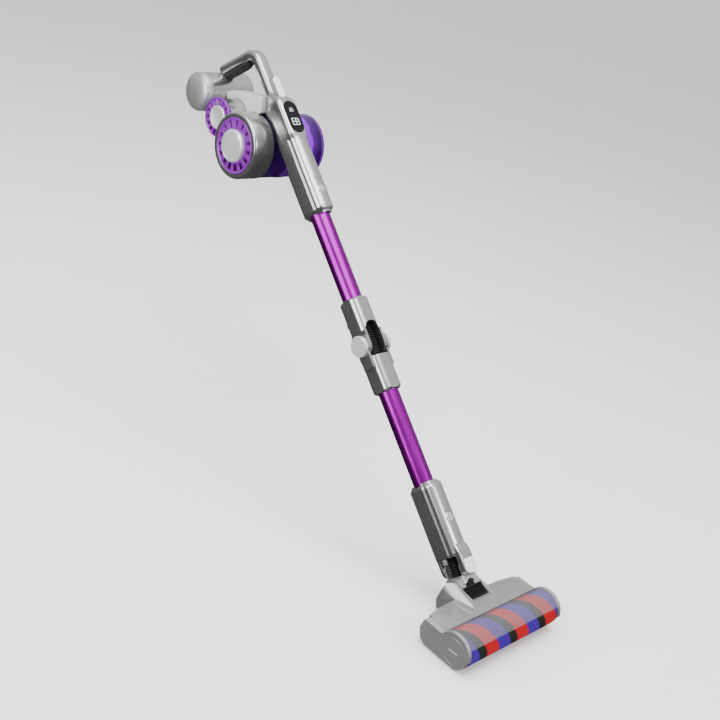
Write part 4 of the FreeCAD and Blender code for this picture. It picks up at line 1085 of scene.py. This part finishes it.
@dataclass
class Grip:
    """The soft pad under the grip, crossed by fine ribs."""

    depth: float = 12.0
    half: float = 11.2
    length: float = 86.0
    rib_pitch: float = 3.4
    rib: float = 0.45
    inset: float = 7.5
    gap: float = 2.0

    def build(self, spine: Spine) -> None:
        """A D-shaped section swept along the grip; ribs are a sine of the way along it.

        Args:
            spine: the handle it lies under.
        """
        run = np.linspace(0, 1, 200)
        rise = math.pi / 2 - spine.turn
        along = np.array([math.cos(rise), math.sin(rise)])
        down = np.array([math.sin(rise), -math.cos(rise)])
        start_y = spine.strut_middle + spine.bend_radius * (1 - math.cos(spine.turn))
        start_s = spine.bend_start + spine.bend_radius * math.sin(spine.turn)
        ease = np.sqrt(np.clip(1 - np.abs(2 * run - 1) ** 6, 0, 1))
        ribs = self.rib * np.sin(run * self.length / self.rib_pitch * TAU) * (ease > 0.6)
        angle = np.linspace(-0.10 * math.pi, 1.10 * math.pi, 49)
        wide = self.half * (0.55 + 0.45 * ease)[:, None] * np.cos(angle) * 1.03
        belly = np.abs(np.sin(angle)) ** 0.8 * np.sign(np.sin(angle))
        deep = self.inset + ((self.depth + 2) * ease + ribs)[:, None] * belly
        way = self.gap + self.length * run
        path = np.stack([start_y + way * along[0], start_s + way * along[1]], -1)
        rings = np.stack([wide, path[:, None, 0] + deep * down[0], path[:, None, 1] + deep * down[1]], -1)
        make_piece("grip_sleeve", [loft(rings)], SOFT_BLACK, Body.HANDHELD, ("grip_pad",), 60)


@dataclass
class Connector:
    """The wand's lower shell with its front and rear arms that carry the neck."""

    low: float = 55.0
    high: float = 190.0
    seam: float = 133.0
    chamfer: float = 9.0
    front_foot: float = 16.5
    front_round: float = 11.0
    front_half: float = 15.0
    front_face: float = -33.6
    sinks: tuple[float, float] = (56.0, 84.0)
    rear_foot: float = 22.0
    rear_round: float = 12.0
    rear_half: float = 12.0
    rear_faces: tuple[float, float] = (21.6, 28.4)

    def build(self) -> None:
        """One loft for the shell and one for each arm."""
        shell = section_loft([
            (self.low, shrunk(SHELL, 0.96)), (self.low + 1.5, SHELL), *seam_stations(self.seam),
            (self.high - self.chamfer, SHELL), (self.high, shrunk(SHELL, 0.8, 3))])
        make_piece("connector_skin", [shell, self.front_arm(), self.rear_arm()], SILVER, Body.LOWER_WAND,
                   ("connector_shell",))

    def arm(self, s: np.ndarray, half: np.ndarray, near: np.ndarray, far: np.ndarray, radius: float) -> Patch:
        """An arm as a loft of rounded blocks.

        Args:
            s: stations.
            half: half width at each.
            near: rearward y of the inner face.
            far: rearward y of the outer face.
            radius: rounding of the outer corners.

        Returns:
            The closed patch.
        """
        small, large = np.full_like(s, 1.0), np.full_like(s, radius)
        corners = [(half - 2, near, small), (half, near, small), (half, (near + far) / 2, small),
                   (half, far, large), (half * 0.4, far, small)]
        table = np.stack([np.stack(corner, -1) for corner in corners], 1)
        outlines = rounded(*whole(table))
        along = np.broadcast_to(s[:, None, None], (*outlines.shape[:2], 1))
        return loft(np.concatenate([outlines, along], -1))

    def front_arm(self) -> Patch:
        """Round at the bottom, full width over the neck, and sinking into the shell above.

        The outer face eases inwards by 3t^2 - 2t^3 while it sinks.

        Returns:
            The closed patch.
        """
        turn = np.linspace(0.12, math.pi / 2, 14)
        foot = self.front_foot + self.front_round * (1 - np.cos(turn))
        s = np.concatenate([foot, np.linspace(29, self.sinks[1], 24)])
        bottom = np.clip((s - self.front_foot) / self.front_round, 0, 1)
        half = 4 + (self.front_half - 4) * np.sqrt(1 - (1 - bottom) ** 2)
        top = np.clip((s - self.sinks[0]) / (self.sinks[1] - self.sinks[0]), 0, 1)
        half = half - 4.5 * top**2
        far = self.front_face + 7.2 * (3 * top**2 - 2 * top**3) + 2.2 * (1 - bottom) ** 2
        near = np.where(s < self.low, -21.6, -20.0)
        return self.arm(s, half, near, far, 6.0)

    def rear_arm(self) -> Patch:
        """A plain tongue behind the neck with a round end.

        Returns:
            The closed patch.
        """
        turn = np.linspace(0.1, math.pi / 2, 12)
        foot = self.rear_foot + self.rear_round * (1 - np.cos(turn))
        s = np.concatenate([foot, np.linspace(37, 63, 8)])
        bottom = np.clip((s - self.rear_foot) / self.rear_round, 0, 1)
        half = 1.5 + (self.rear_half - 1.5) * np.sqrt(1 - (1 - bottom) ** 2)
        near, far = (np.full_like(s, face) for face in self.rear_faces)
        return self.arm(s, half, near, far, 3.0)


@dataclass
class Hose:
    """A corrugated hose along the wand: round ridges on a thin wall."""

    name: str
    node: str
    low: float
    high: float
    radius: float
    pitch: float = 5.2
    ridge: float = 2.2
    wall: float = 1.2
    around: int = 72

    def build(self, parent: Body, child: Body, start: float, end: float) -> None:
        """Radius is the outer one less a ridge times |cos|^1.4 of half a turn for each pitch.

        Args:
            parent: body above; not used.
            child: body below; not used.
            start: s of the first of two points that are placed and then not used.
            end: s of the second of these points.
        """
        count = round((self.high - self.low) / self.pitch)
        s = np.linspace(self.low, self.high, count * 12 + 1)
        wave = np.abs(np.cos((s - self.low) / (self.high - self.low) * count * math.pi)) ** 1.4
        outer = self.radius - self.ridge * wave
        profile = np.concatenate([np.stack([outer, s], -1), np.stack([outer[::-1] - self.wall, s[::-1]], -1)])
        angle = np.linspace(0, TAU, self.around, endpoint=False)[:, None]
        rings = np.stack([profile[:, 0] * np.cos(angle), profile[:, 0] * np.sin(angle),
                          np.broadcast_to(profile[:, 1], (self.around, len(profile)))], -1)
        piece = make_piece(self.name, [hoop(rings)], RUBBER, None, (self.node,), 60)
        points = WAND.place(np.array([[0, 0, start], [0, 0, end]], float))
        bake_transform(piece)


# ---- turned pieces ---------------------------------------------------------------------------------------

AXIS_GAP = 0.05  # Radius of the tiny face that closes a solid turned piece at its axis.


def arc(centre: tuple[float, float], radius: float, start: float, end: float, count: int = 8) -> list:
    """Profile points on an arc: x = cx + r cos a, radius = cr + r sin a.

    Args:
        centre: its x and radius.
        radius: the arc's own radius.
        start: first angle in degrees.
        end: last angle in degrees.
        count: points on it.

    Returns:
        A list of [x, radius] pairs.
    """
    angle = np.radians(np.linspace(start, end, count))
    return [[centre[0] + radius * math.cos(a), centre[1] + radius * math.sin(a)] for a in angle]


@dataclass
class Grille:
    """A round exhaust grille: a rim, a collar and slanted vanes between them."""

    name: str
    node: str
    centre_node: str
    outer: float
    inner: float
    face: float
    depth: float = 4.8
    vanes: int = 15
    share: float = 0.66
    tilt: float = 2.3
    thick: float = 1.3

    def build(self) -> None:
        """The rim and collar are turned; a vane is a slanted plate drawn along the radius; a dark purple
        plate behind the vanes is painted shade for the inside of the grille.
        """
        y, s = wand_yz(self.centre_node)
        x, back = self.face, self.face + self.depth
        band = self.outer - self.inner
        rim = np.array([
            [back, self.outer - 0.1], [x + 1, self.outer - 0.1],
            *arc((x + 1, self.outer - 1.6), 1.5, 90, 180, 5), [x + 0.2, self.outer - band * 0.12],
            [x + 1.6, self.outer - band * 0.22], [back, self.outer - band * 0.26]])
        collar = np.array([
            [back, self.inner + 0.1], [x + 0.8, self.inner + 0.1],
            *arc((x + 1.6, self.inner + 1.2), 1.0, 180, 90, 5), [x + 2.6, self.inner + band * 0.16],
            [back, self.inner + band * 0.2]])
        patches = [hoop(turned(rim, y, s)), hoop(turned(collar, y, s)), *self.blades(x, back, y, s, band)]
        make_piece(self.name, patches, PURPLE, Body.HANDHELD, (self.node,), 35)
        # Painted shade: a dark purple plate behind the vanes stands in for the shade inside the grille.
        low, high = self.inner + 0.5, self.outer - 0.5
        plate = np.array([[back - 0.6, low], [back - 0.6, high], [back, high], [back, low]])
        make_piece(self.name + "_painted_shade_backing", [hoop(turned(plate, y, s, 96))], PURPLE_PAINTED_SHADE, Body.HANDHELD, (),
                   35)

    def blades(self, x: float, back: float, y: float, s: float, band: float) -> list[Patch]:
        """All vanes: slanted plates as wide as a share of their pitch, one long edge deeper than the other.

        Args:
            x: the front face.
            back: the rear face.
            y: axis.
            s: axis.
            band: outer less inner radius.

        Returns:
            One closed patch for each vane.
        """
        radius = np.linspace(self.inner + band * 0.1, self.outer - band * 0.14, 8)
        half = self.share * math.pi * radius / self.vanes
        side = np.array([-1.0, -0.93, 0.93, 1.0, 1.0, 0.93, -0.93, -1.0])
        front = np.array([0.5, 0.0, 0.0, 0.3, 1.0, 1.0, 1.0, 0.9]) * self.thick
        xx = x + 0.7 + front + (side + 1) / 2 * self.tilt
        blades = []
        for vane in range(self.vanes):
            angle = TAU * vane / self.vanes
            out = np.array([math.cos(angle), math.sin(angle)])
            over = np.array([-math.sin(angle), math.cos(angle)])
            yz = radius[:, None, None] * out + (half[:, None] * side)[..., None] * over
            rings = np.concatenate([np.broadcast_to(xx[None, :, None], (8, 8, 1)), yz + np.array([y, s])], -1)
            blades.append(loft(rings))
        return blades


@dataclass
class Drum:
    """The suction drum's silver band, its cap and grille."""

    radius: float = 62.5
    left: float = -61.0
    right: float = -15.0
    ring: float = 52.5
    grille: float = 52.4
    cap: float = 31.0
    cap_face: float = -69.0
    cap_depth: float = 12.0
    wall: float = 2.4
    bore: float = 15.0

    def build(self) -> None:
        """The band is turned with a full round at its front rim and a step down to the grille."""
        y, s = wand_yz("drum_cap")
        lip = self.left + 4
        inside, groove = self.radius - self.wall, self.radius - 0.9
        shell = np.array([
            [lip, self.ring], [self.left + 0.8, self.ring], [self.left, self.ring + 0.8],
            [self.left, self.radius - 5], *arc((lip, self.radius - 4), 4.0, 180, 90, 9),
            [self.left + 17.2, self.radius], [self.left + 17.5, groove], [self.left + 18.3, groove],
            [self.left + 18.6, self.radius], [self.right - 1, self.radius], [self.right, self.radius - 1],
            [self.right, inside], [lip, inside]])
        bulkhead = np.array([
            [self.right - 3, self.bore], [self.right - 3, self.radius - 2], [self.right, self.radius - 2],
            [self.right, self.bore]])
        make_piece("drum_band", [hoop(turned(shell, y, s, 200)), hoop(turned(bulkhead, y, s, 96))], SILVER,
                   Body.HANDHELD, ("drum_shell",), 30)
        Grille("exhaust_grille", "exhaust_ring", "drum_cap", self.grille, self.cap, self.left - 0.9).build()
        face, back = self.cap_face, self.cap_face + self.cap_depth
        cap = np.array([
            [face, AXIS_GAP], [face + 0.05, 12], [face + 0.2, 22], [face + 0.35, 26], [face + 0.9, 26.4],
            [face + 0.9, 26.8], [face + 0.4, 27.2], *arc((face + 3.4, self.cap - 3.1), 3.0, 180, 90, 8),
            [back, self.cap - 0.1], [back, AXIS_GAP]])
        finish = Spun("drum_spun", centre=row_centre("drum_cap"))
        make_piece("drum_disc", [disc(cap, y, s)], finish, Body.HANDHELD, ("drum_cap",), 30)


@dataclass
class Pod:
    """The rear pod's grille and dished end."""

    radius: float = 37.5
    left: float = -60.0
    band: float = 15.0
    depth: float = 3.9
    dish_depth: float = 4.8

    def build(self) -> None:
        """The dish is turned: a raised edge round a shallow hollow."""
        Grille("pod_grille", "pod_ring", "pod_ring", self.radius, self.radius - self.band, self.left,
               self.depth).build()
        y, s = wand_yz("pod_ring")
        edge, back = self.radius - self.band - 0.1, self.left + self.dish_depth
        dish = np.array([
            [self.left + 2.4, AXIS_GAP], [self.left + 2.0, 8], [self.left + 0.6, 16],
            *arc((self.left + 1.0, edge - 2.0), 1.9, 180, 90, 8), [back, edge], [back, AXIS_GAP]])
        finish = Spun("pod_spun", centre=row_centre("pod_ring"))
        make_piece("pod_dish", [disc(dish, y, s, 96)], finish, Body.HANDHELD, ("pod_cap",), 30)


@dataclass
class BatteryEnd:
    """The battery's domed cap with a bright collar."""

    radius: float = 37.0
    edge: float = -60.0
    dome: float = 9.0
    back: float = -48.4

    def build(self) -> None:
        """The dome's profile is nearly a quarter of an ellipse; a groove parts it from the collar.

        At angle a from the axis, x = edge - dome cos(a)^0.9 and the radius is (radius - 1.2) sin(a).
        """
        y, s = wand_yz("battery_sleeve")
        angle = np.radians(np.linspace(2, 86, 26))
        bulge = self.dome * np.cos(angle) ** 0.9
        dome = np.stack([self.edge - bulge, (self.radius - 1.2) * np.sin(angle)], -1)
        rest = np.array([
            [self.edge - 0.3, self.radius - 1.3], [self.edge + 0.3, self.radius - 1.3],
            *arc((self.edge + 1.3, self.radius - 0.9), 0.9, 180, 90, 6), [self.back - 0.6, self.radius],
            [self.back, self.radius - 0.6], [self.back, AXIS_GAP]])
        first = np.array([[self.edge - self.dome, AXIS_GAP]])
        make_piece("battery_dome", [disc(np.concatenate([first, dome, rest]), y, s)], SATIN, Body.BATTERY,
                   ("battery_cap",), 32)


# ---- display ---------------------------------------------------------------------------------------------


@dataclass
class Display:
    """Lit seven-segment digits on the face of the display window."""

    face: float = -29.78
    low: float = 873.0
    tall: float = 13.0
    wide: float = 7.4
    line: float = 1.1
    thick: float = 0.25
    lit: dict[int, str] = field(default_factory=lambda: {8: "abcdefg", 3: "abgcd", 2: "abged", 6: "afgedc"})

    def build(self) -> None:
        """Two large digits below and two small ones above, each of bars with cut corners."""
        large, small = self.low + 12, self.low + 40
        patches = [
            *self.digit(8, 4.4, large, 1.0), *self.digit(3, -4.4, large, 1.0),
            *self.digit(2, 2.6, small, 0.5), *self.digit(6, -2.6, small, 0.5)]
        make_piece("display_digits", patches, SEGMENT, Body.HANDHELD, (), 40)

    def digit(self, number: int, x: float, s: float, scale: float) -> list[Patch]:
        """The bars of one digit, seen from the front with s upwards.

        Args:
            number: the digit.
            x: its middle; -x is to the reader's left when the digit faces forwards.
            s: its foot.
            scale: share of the full size.

        Returns:
            A patch for each bar.
        """
        w, h, t = self.wide * scale, self.tall * scale, self.line * scale
        bars = {
            "a": (0, h, w - t, t), "d": (0, 0, w - t, t), "g": (0, h / 2, w - t, t),
            "b": (-w / 2, h * 0.75, t, h / 2 - t), "f": (w / 2, h * 0.75, t, h / 2 - t),
            "c": (-w / 2, h * 0.25, t, h / 2 - t), "e": (w / 2, h * 0.25, t, h / 2 - t)}
        return [self.bar(x + bars[k][0], s + bars[k][1], bars[k][2], bars[k][3]) for k in self.lit[number]]

    def bar(self, x: float, s: float, wide: float, tall: float) -> Patch:
        """A thin lit bar with cut corners.

        Args:
            x: its middle across.
            s: its middle along.
            wide: its size across.
            tall: its size along.

        Returns:
            The closed patch.
        """
        cut = min(wide, tall) * 0.35
        a, b = wide / 2, tall / 2
        outline = np.array([
            [a - cut, b], [a, b - cut], [a, cut - b], [a - cut, -b], [cut - a, -b], [-a, cut - b],
            [-a, b - cut], [cut - a, b]])
        faces = (self.face, self.face + self.thick)
        return loft(np.stack([
            np.stack([x + outline[:, 0], np.full(8, y), s + outline[:, 1]], -1) for y in faces]))


# ---- floor head ------------------------------------------------------------------------------------------


@dataclass
class Roller:
    """The soft roller's pile: a brushed cylinder with rolled ends."""

    radius: float = 31.2
    depth: float = 7.0
    roll: float = 2.2
    lay: float = 0.18
    around: int = 220

    def build(self) -> None:
        """Radius is the full one plus the lay of the pile, less a quarter round of roll at each end.

        The lay is a sine along and round the roller times a finer sine round it.
        """
        low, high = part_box("roller_pile")
        y, z = (low.y + high.y) / 2 / MM, (low.z + high.z) / 2 / MM
        half = high.x / MM
        left_turn, right_turn = np.linspace(0, math.pi / 2, 8), np.linspace(math.pi / 2, 0, 8)
        x = np.concatenate([
            -half + self.roll * (1 - np.cos(left_turn)), np.linspace(-half + 3, half - 3, 190),
            half - self.roll * (1 - np.cos(right_turn))])
        angle = np.linspace(0, TAU, self.around, endpoint=False)
        edge = np.minimum(half - np.abs(x), self.roll) / self.roll
        wave = np.sin(x[:, None] * 1.9 + 5 * np.sin(angle * 3))
        lay = self.lay * wave * np.sin(angle * 34 + x[:, None] * 0.35)
        rolled = self.roll * (1 - np.sqrt(np.clip(1 - (1 - edge) ** 2, 0, 1)))
        radius = self.radius - rolled[:, None] + (lay - 0.2) * edge[:, None]
        outer = self.rings(x, radius, angle, y, z)
        bore = np.full((2, 1), self.radius - self.depth)
        inner = self.rings(np.array([half - 0.2, -half + 0.2]), bore, angle, y, z)
        finish = PileBands("roller_pile_bands", axis=(0.0, y * MM, z * MM))
        make_piece("roller_sleeve", [hoop(np.concatenate([outer, inner]))], finish, Body.ROLLER,
                   ("roller_pile",), 50, in_wand=False)

    def rings(self, x: np.ndarray, radius: np.ndarray, angle: np.ndarray, y: float, z: float) -> np.ndarray:
        """Circles across the head: y = axis - r sin a, z = axis + r cos a.

        Args:
            x: array (n,) of places across.
            radius: array (n, m) or (n, 1) of radii.
            angle: array (m,) of angles from the top towards the front.
            y: the axis's y.
            z: the axis's height.

        Returns:
            Array (n, m, 3).
        """
        across = np.broadcast_to(x[:, None], (len(x), len(angle)))
        return np.stack([across, y - radius * np.sin(angle), z + radius * np.cos(angle)], -1)


@dataclass
class Hood:
    """The clear hood over the roller's upper front."""

    radius: float = 33.9
    wall: float = 1.6
    front: float = 0.60
    behind: float = 0.72
    half: float = 117.6

    def build(self) -> None:
        """An arc round the roller's axis, from a little above its front to the cover, drawn across."""
        low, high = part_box("roller_pile")
        y, z = (low.y + high.y) / 2 / MM, (low.z + high.z) / 2 / MM
        angle = np.linspace(self.front, math.pi / 2 + self.behind, 60)
        outer = np.stack([y - self.radius * np.cos(angle), z + self.radius * np.sin(angle)], -1)
        inside = self.radius - self.wall
        inner = np.stack([y - inside * np.cos(angle[::-1]), z + inside * np.sin(angle[::-1])], -1)
        ring = np.concatenate([outer, inner])
        x = np.linspace(-self.half, self.half, 3)
        rings = np.concatenate([np.broadcast_to(x[:, None, None], (3, len(ring), 1)),
                                np.broadcast_to(ring, (3, *ring.shape))], -1)
        make_piece("hood_shell", [loft(rings)], SMOKE, Body.HEAD, ("hood",), 40,
                   in_wand=False)


@dataclass
class Bellows:
    """The ribbed rubber apron between the floor head and the neck, its ribs across the head."""

    half: float = 21.5
    ribs: int = 6
    rise: float = 3.0
    sag: float = 1.2
    thick: float = 2.4

    def build(self) -> None:
        """The apron's height is rise times |sin|^0.7 along its run, less sag times a cosine across it."""
        low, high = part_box("neck_bellows")
        start = np.array([low.y / MM, low.z / MM + self.thick])
        end = np.array([high.y / MM, high.z / MM])
        run = end - start
        up = np.array([-run[1], run[0]]) / np.linalg.norm(run)
        t = np.linspace(0, 1, self.ribs * 14 + 1)
        wave = np.abs(np.sin(t * self.ribs * math.pi)) ** 0.7 * self.rise
        x = np.linspace(-self.half, self.half, 41)
        dish = -self.sag * np.cos(x / self.half * math.pi / 2)[:, None]
        line = start + run * t[:, None]
        top = line[None] + (wave[None, :, None] + dish[..., None]) * up
        under = line[None, ::-1] + (dish[..., None] - self.thick) * up
        ring = np.concatenate([top, under], 1)
        rings = np.concatenate([np.broadcast_to(x[:, None, None], (*ring.shape[:2], 1)), ring], -1)
        piece = make_piece("neck_apron", [loft(rings)], RUBBER, None, ("neck_bellows",), 50,
                           in_wand=False)
        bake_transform(piece)


# ---- studio ----------------------------------------------------------------------------------------------


@dataclass
class Studio:
    """Pale floor, soft lights and the camera."""

    eye: tuple = (-1.3705, -0.7749, 1.1245)
    right: tuple = (0.7068, -0.6706, 0.2252)
    up: tuple = (0.1417, 0.4461, 0.8836)
    back: tuple = (-0.6931, -0.5926, 0.4104)
    lens: float = 54.478
    flag: tuple = (-0.75, -0.64, 0.12)
    floor_half: float = 40.0

    def build(self) -> None:
        """Makes the camera, floor, lights and the sky."""
        self.camera()
        self.floor()
        self.sky()
        target = (0.0, 0.3, 0.3)
        self.softbox("key_light", (0.7, -1.8, 1.7), target, 0.9, 30.0)
        self.softbox("top_light", (-0.3, 0.3, 2.8), (0.0, 0.4, 0.4), 2.4, 120.0)
        self.softbox("left_light", (-2.4, 0.9, 1.0), target, 1.6, 50.0)

    def camera(self) -> None:
        """The camera's axes are its right, up and backward directions."""
        data = bpy.data.cameras.new("camera")
        data.lens = self.lens
        data.sensor_width = 36.0
        data.clip_start, data.clip_end = 0.05, 60.0
        camera = bpy.data.objects.new("camera", data)
        bpy.context.scene.collection.objects.link(camera)
        axes = np.stack([self.right, self.up, self.back])
        pose = Matrix([[*axes[:, i], self.eye[i]] for i in range(3)] + [[0, 0, 0, 1]])
        camera.matrix_world = pose
        bpy.context.scene.camera = camera

    def floor(self) -> None:
        """A wide pale sheet."""
        half = self.floor_half
        corners = [(-half, -half, 0), (half, -half, 0), (half, half, 0), (-half, half, 0)]
        mesh = bpy.data.meshes.new("studio_floor")
        mesh.from_pydata(corners, [], [[0, 1, 2, 3]])
        floor = bpy.data.objects.new("studio_floor", mesh)
        bpy.context.scene.collection.objects.link(floor)
        graph = Graph("pale_floor")
        graph.put(Roughness=0.9, Specular_IOR_Level=0.1)
        drift = graph.span(graph.noise(3.0), 0.0, 1.0)
        graph.colour(graph.blend(drift, (0.93, 0.93, 0.93), (0.95, 0.95, 0.95)))
        mesh.materials.append(graph.material)
        floor.visible_glossy = False

    def sky(self) -> None:
        """Soft surrounding light: bright above, dim below, with a dark flag on the camera's side."""
        world = bpy.data.worlds.new("soft_sky")
        bpy.context.scene.world = world
        world.use_nodes = True
        tree = world.node_tree
        tree.nodes.clear()
        output = tree.nodes.new("ShaderNodeOutputWorld")
        background = tree.nodes.new("ShaderNodeBackground")
        place = tree.nodes.new("ShaderNodeTexCoord")
        parts = tree.nodes.new("ShaderNodeSeparateXYZ")
        ramp = tree.nodes.new("ShaderNodeValToRGB")
        height = tree.nodes.new("ShaderNodeMapRange")
        height.inputs["From Min"].default_value = -1.0
        tree.links.new(place.outputs["Generated"], parts.inputs[0])
        tree.links.new(parts.outputs[2], height.inputs["Value"])
        tree.links.new(height.outputs[0], ramp.inputs[0])
        stops = [(0.0, 0.03), (0.40, 0.05), (0.49, 0.30), (0.56, 0.70), (0.74, 0.80), (1.0, 1.3)]
        while len(ramp.color_ramp.elements) < len(stops):
            ramp.color_ramp.elements.new(0.5)
        for element, (where, value) in zip(ramp.color_ramp.elements, stops):
            element.position = where
            element.color = (value, value, value, 1)
        facing = tree.nodes.new("ShaderNodeVectorMath")
        facing.operation = "DOT_PRODUCT"
        facing.inputs[1].default_value = self.flag
        flag = tree.nodes.new("ShaderNodeMapRange")
        flag.interpolation_type = "SMOOTHSTEP"
        for key, number in (("From Min", 0.88), ("From Max", 0.985), ("To Min", 1.0), ("To Max", 0.05)):
            flag.inputs[key].default_value = number
        shade = tree.nodes.new("ShaderNodeVectorMath")
        shade.operation = "SCALE"
        tree.links.new(place.outputs["Generated"], facing.inputs[0])
        tree.links.new(facing.outputs["Value"], flag.inputs["Value"])
        tree.links.new(ramp.outputs[0], shade.inputs[0])
        tree.links.new(flag.outputs[0], shade.inputs["Scale"])
        tree.links.new(shade.outputs[0], background.inputs["Color"])
        background.inputs["Strength"].default_value = 1.0
        tree.links.new(background.outputs[0], output.inputs["Surface"])

    def softbox(self, name: str, place: tuple, target: tuple, size: float, power: float) -> None:
        """A square soft light.

        Args:
            name: its name.
            place: where it hangs.
            target: what it faces.
            size: its side.
            power: watts.
        """
        data = bpy.data.lights.new(name, "AREA")
        data.size = size
        data.energy = power
        light = bpy.data.objects.new(name, data)
        bpy.context.scene.collection.objects.link(light)
        light.location = place
        light.rotation_euler = (Vector(target) - Vector(place)).to_track_quat("-Z", "Y").to_euler()


def main() -> None:
    """Builds the studio, the dressed frame and every new piece."""
    logging.basicConfig(level=logging.INFO, format="%(name)s %(message)s")
    Studio().build()
    Frame().build()
    spine = Spine()
    spine.build()
    Grip().build(spine)
    Connector().build()
    elbow = Hose("elbow_bellows", "elbow_hose", 412.0, 498.0, 15.6)
    elbow.build(Body.HANDHELD, Body.LOWER_WAND, 476.0, 432.0)
    neck = Hose("neck_corrugated", "neck_hose", 21.0, 61.0, 13.4)
    neck.build(Body.LOWER_WAND, Body.NECK, 54.0, 24.0)
    Drum().build()
    Pod().build()
    BatteryEnd().build()
    Display().build()
    Roller().build()
    Hood().build()
    Bellows().build()


if __name__ == "__main__":
    main()
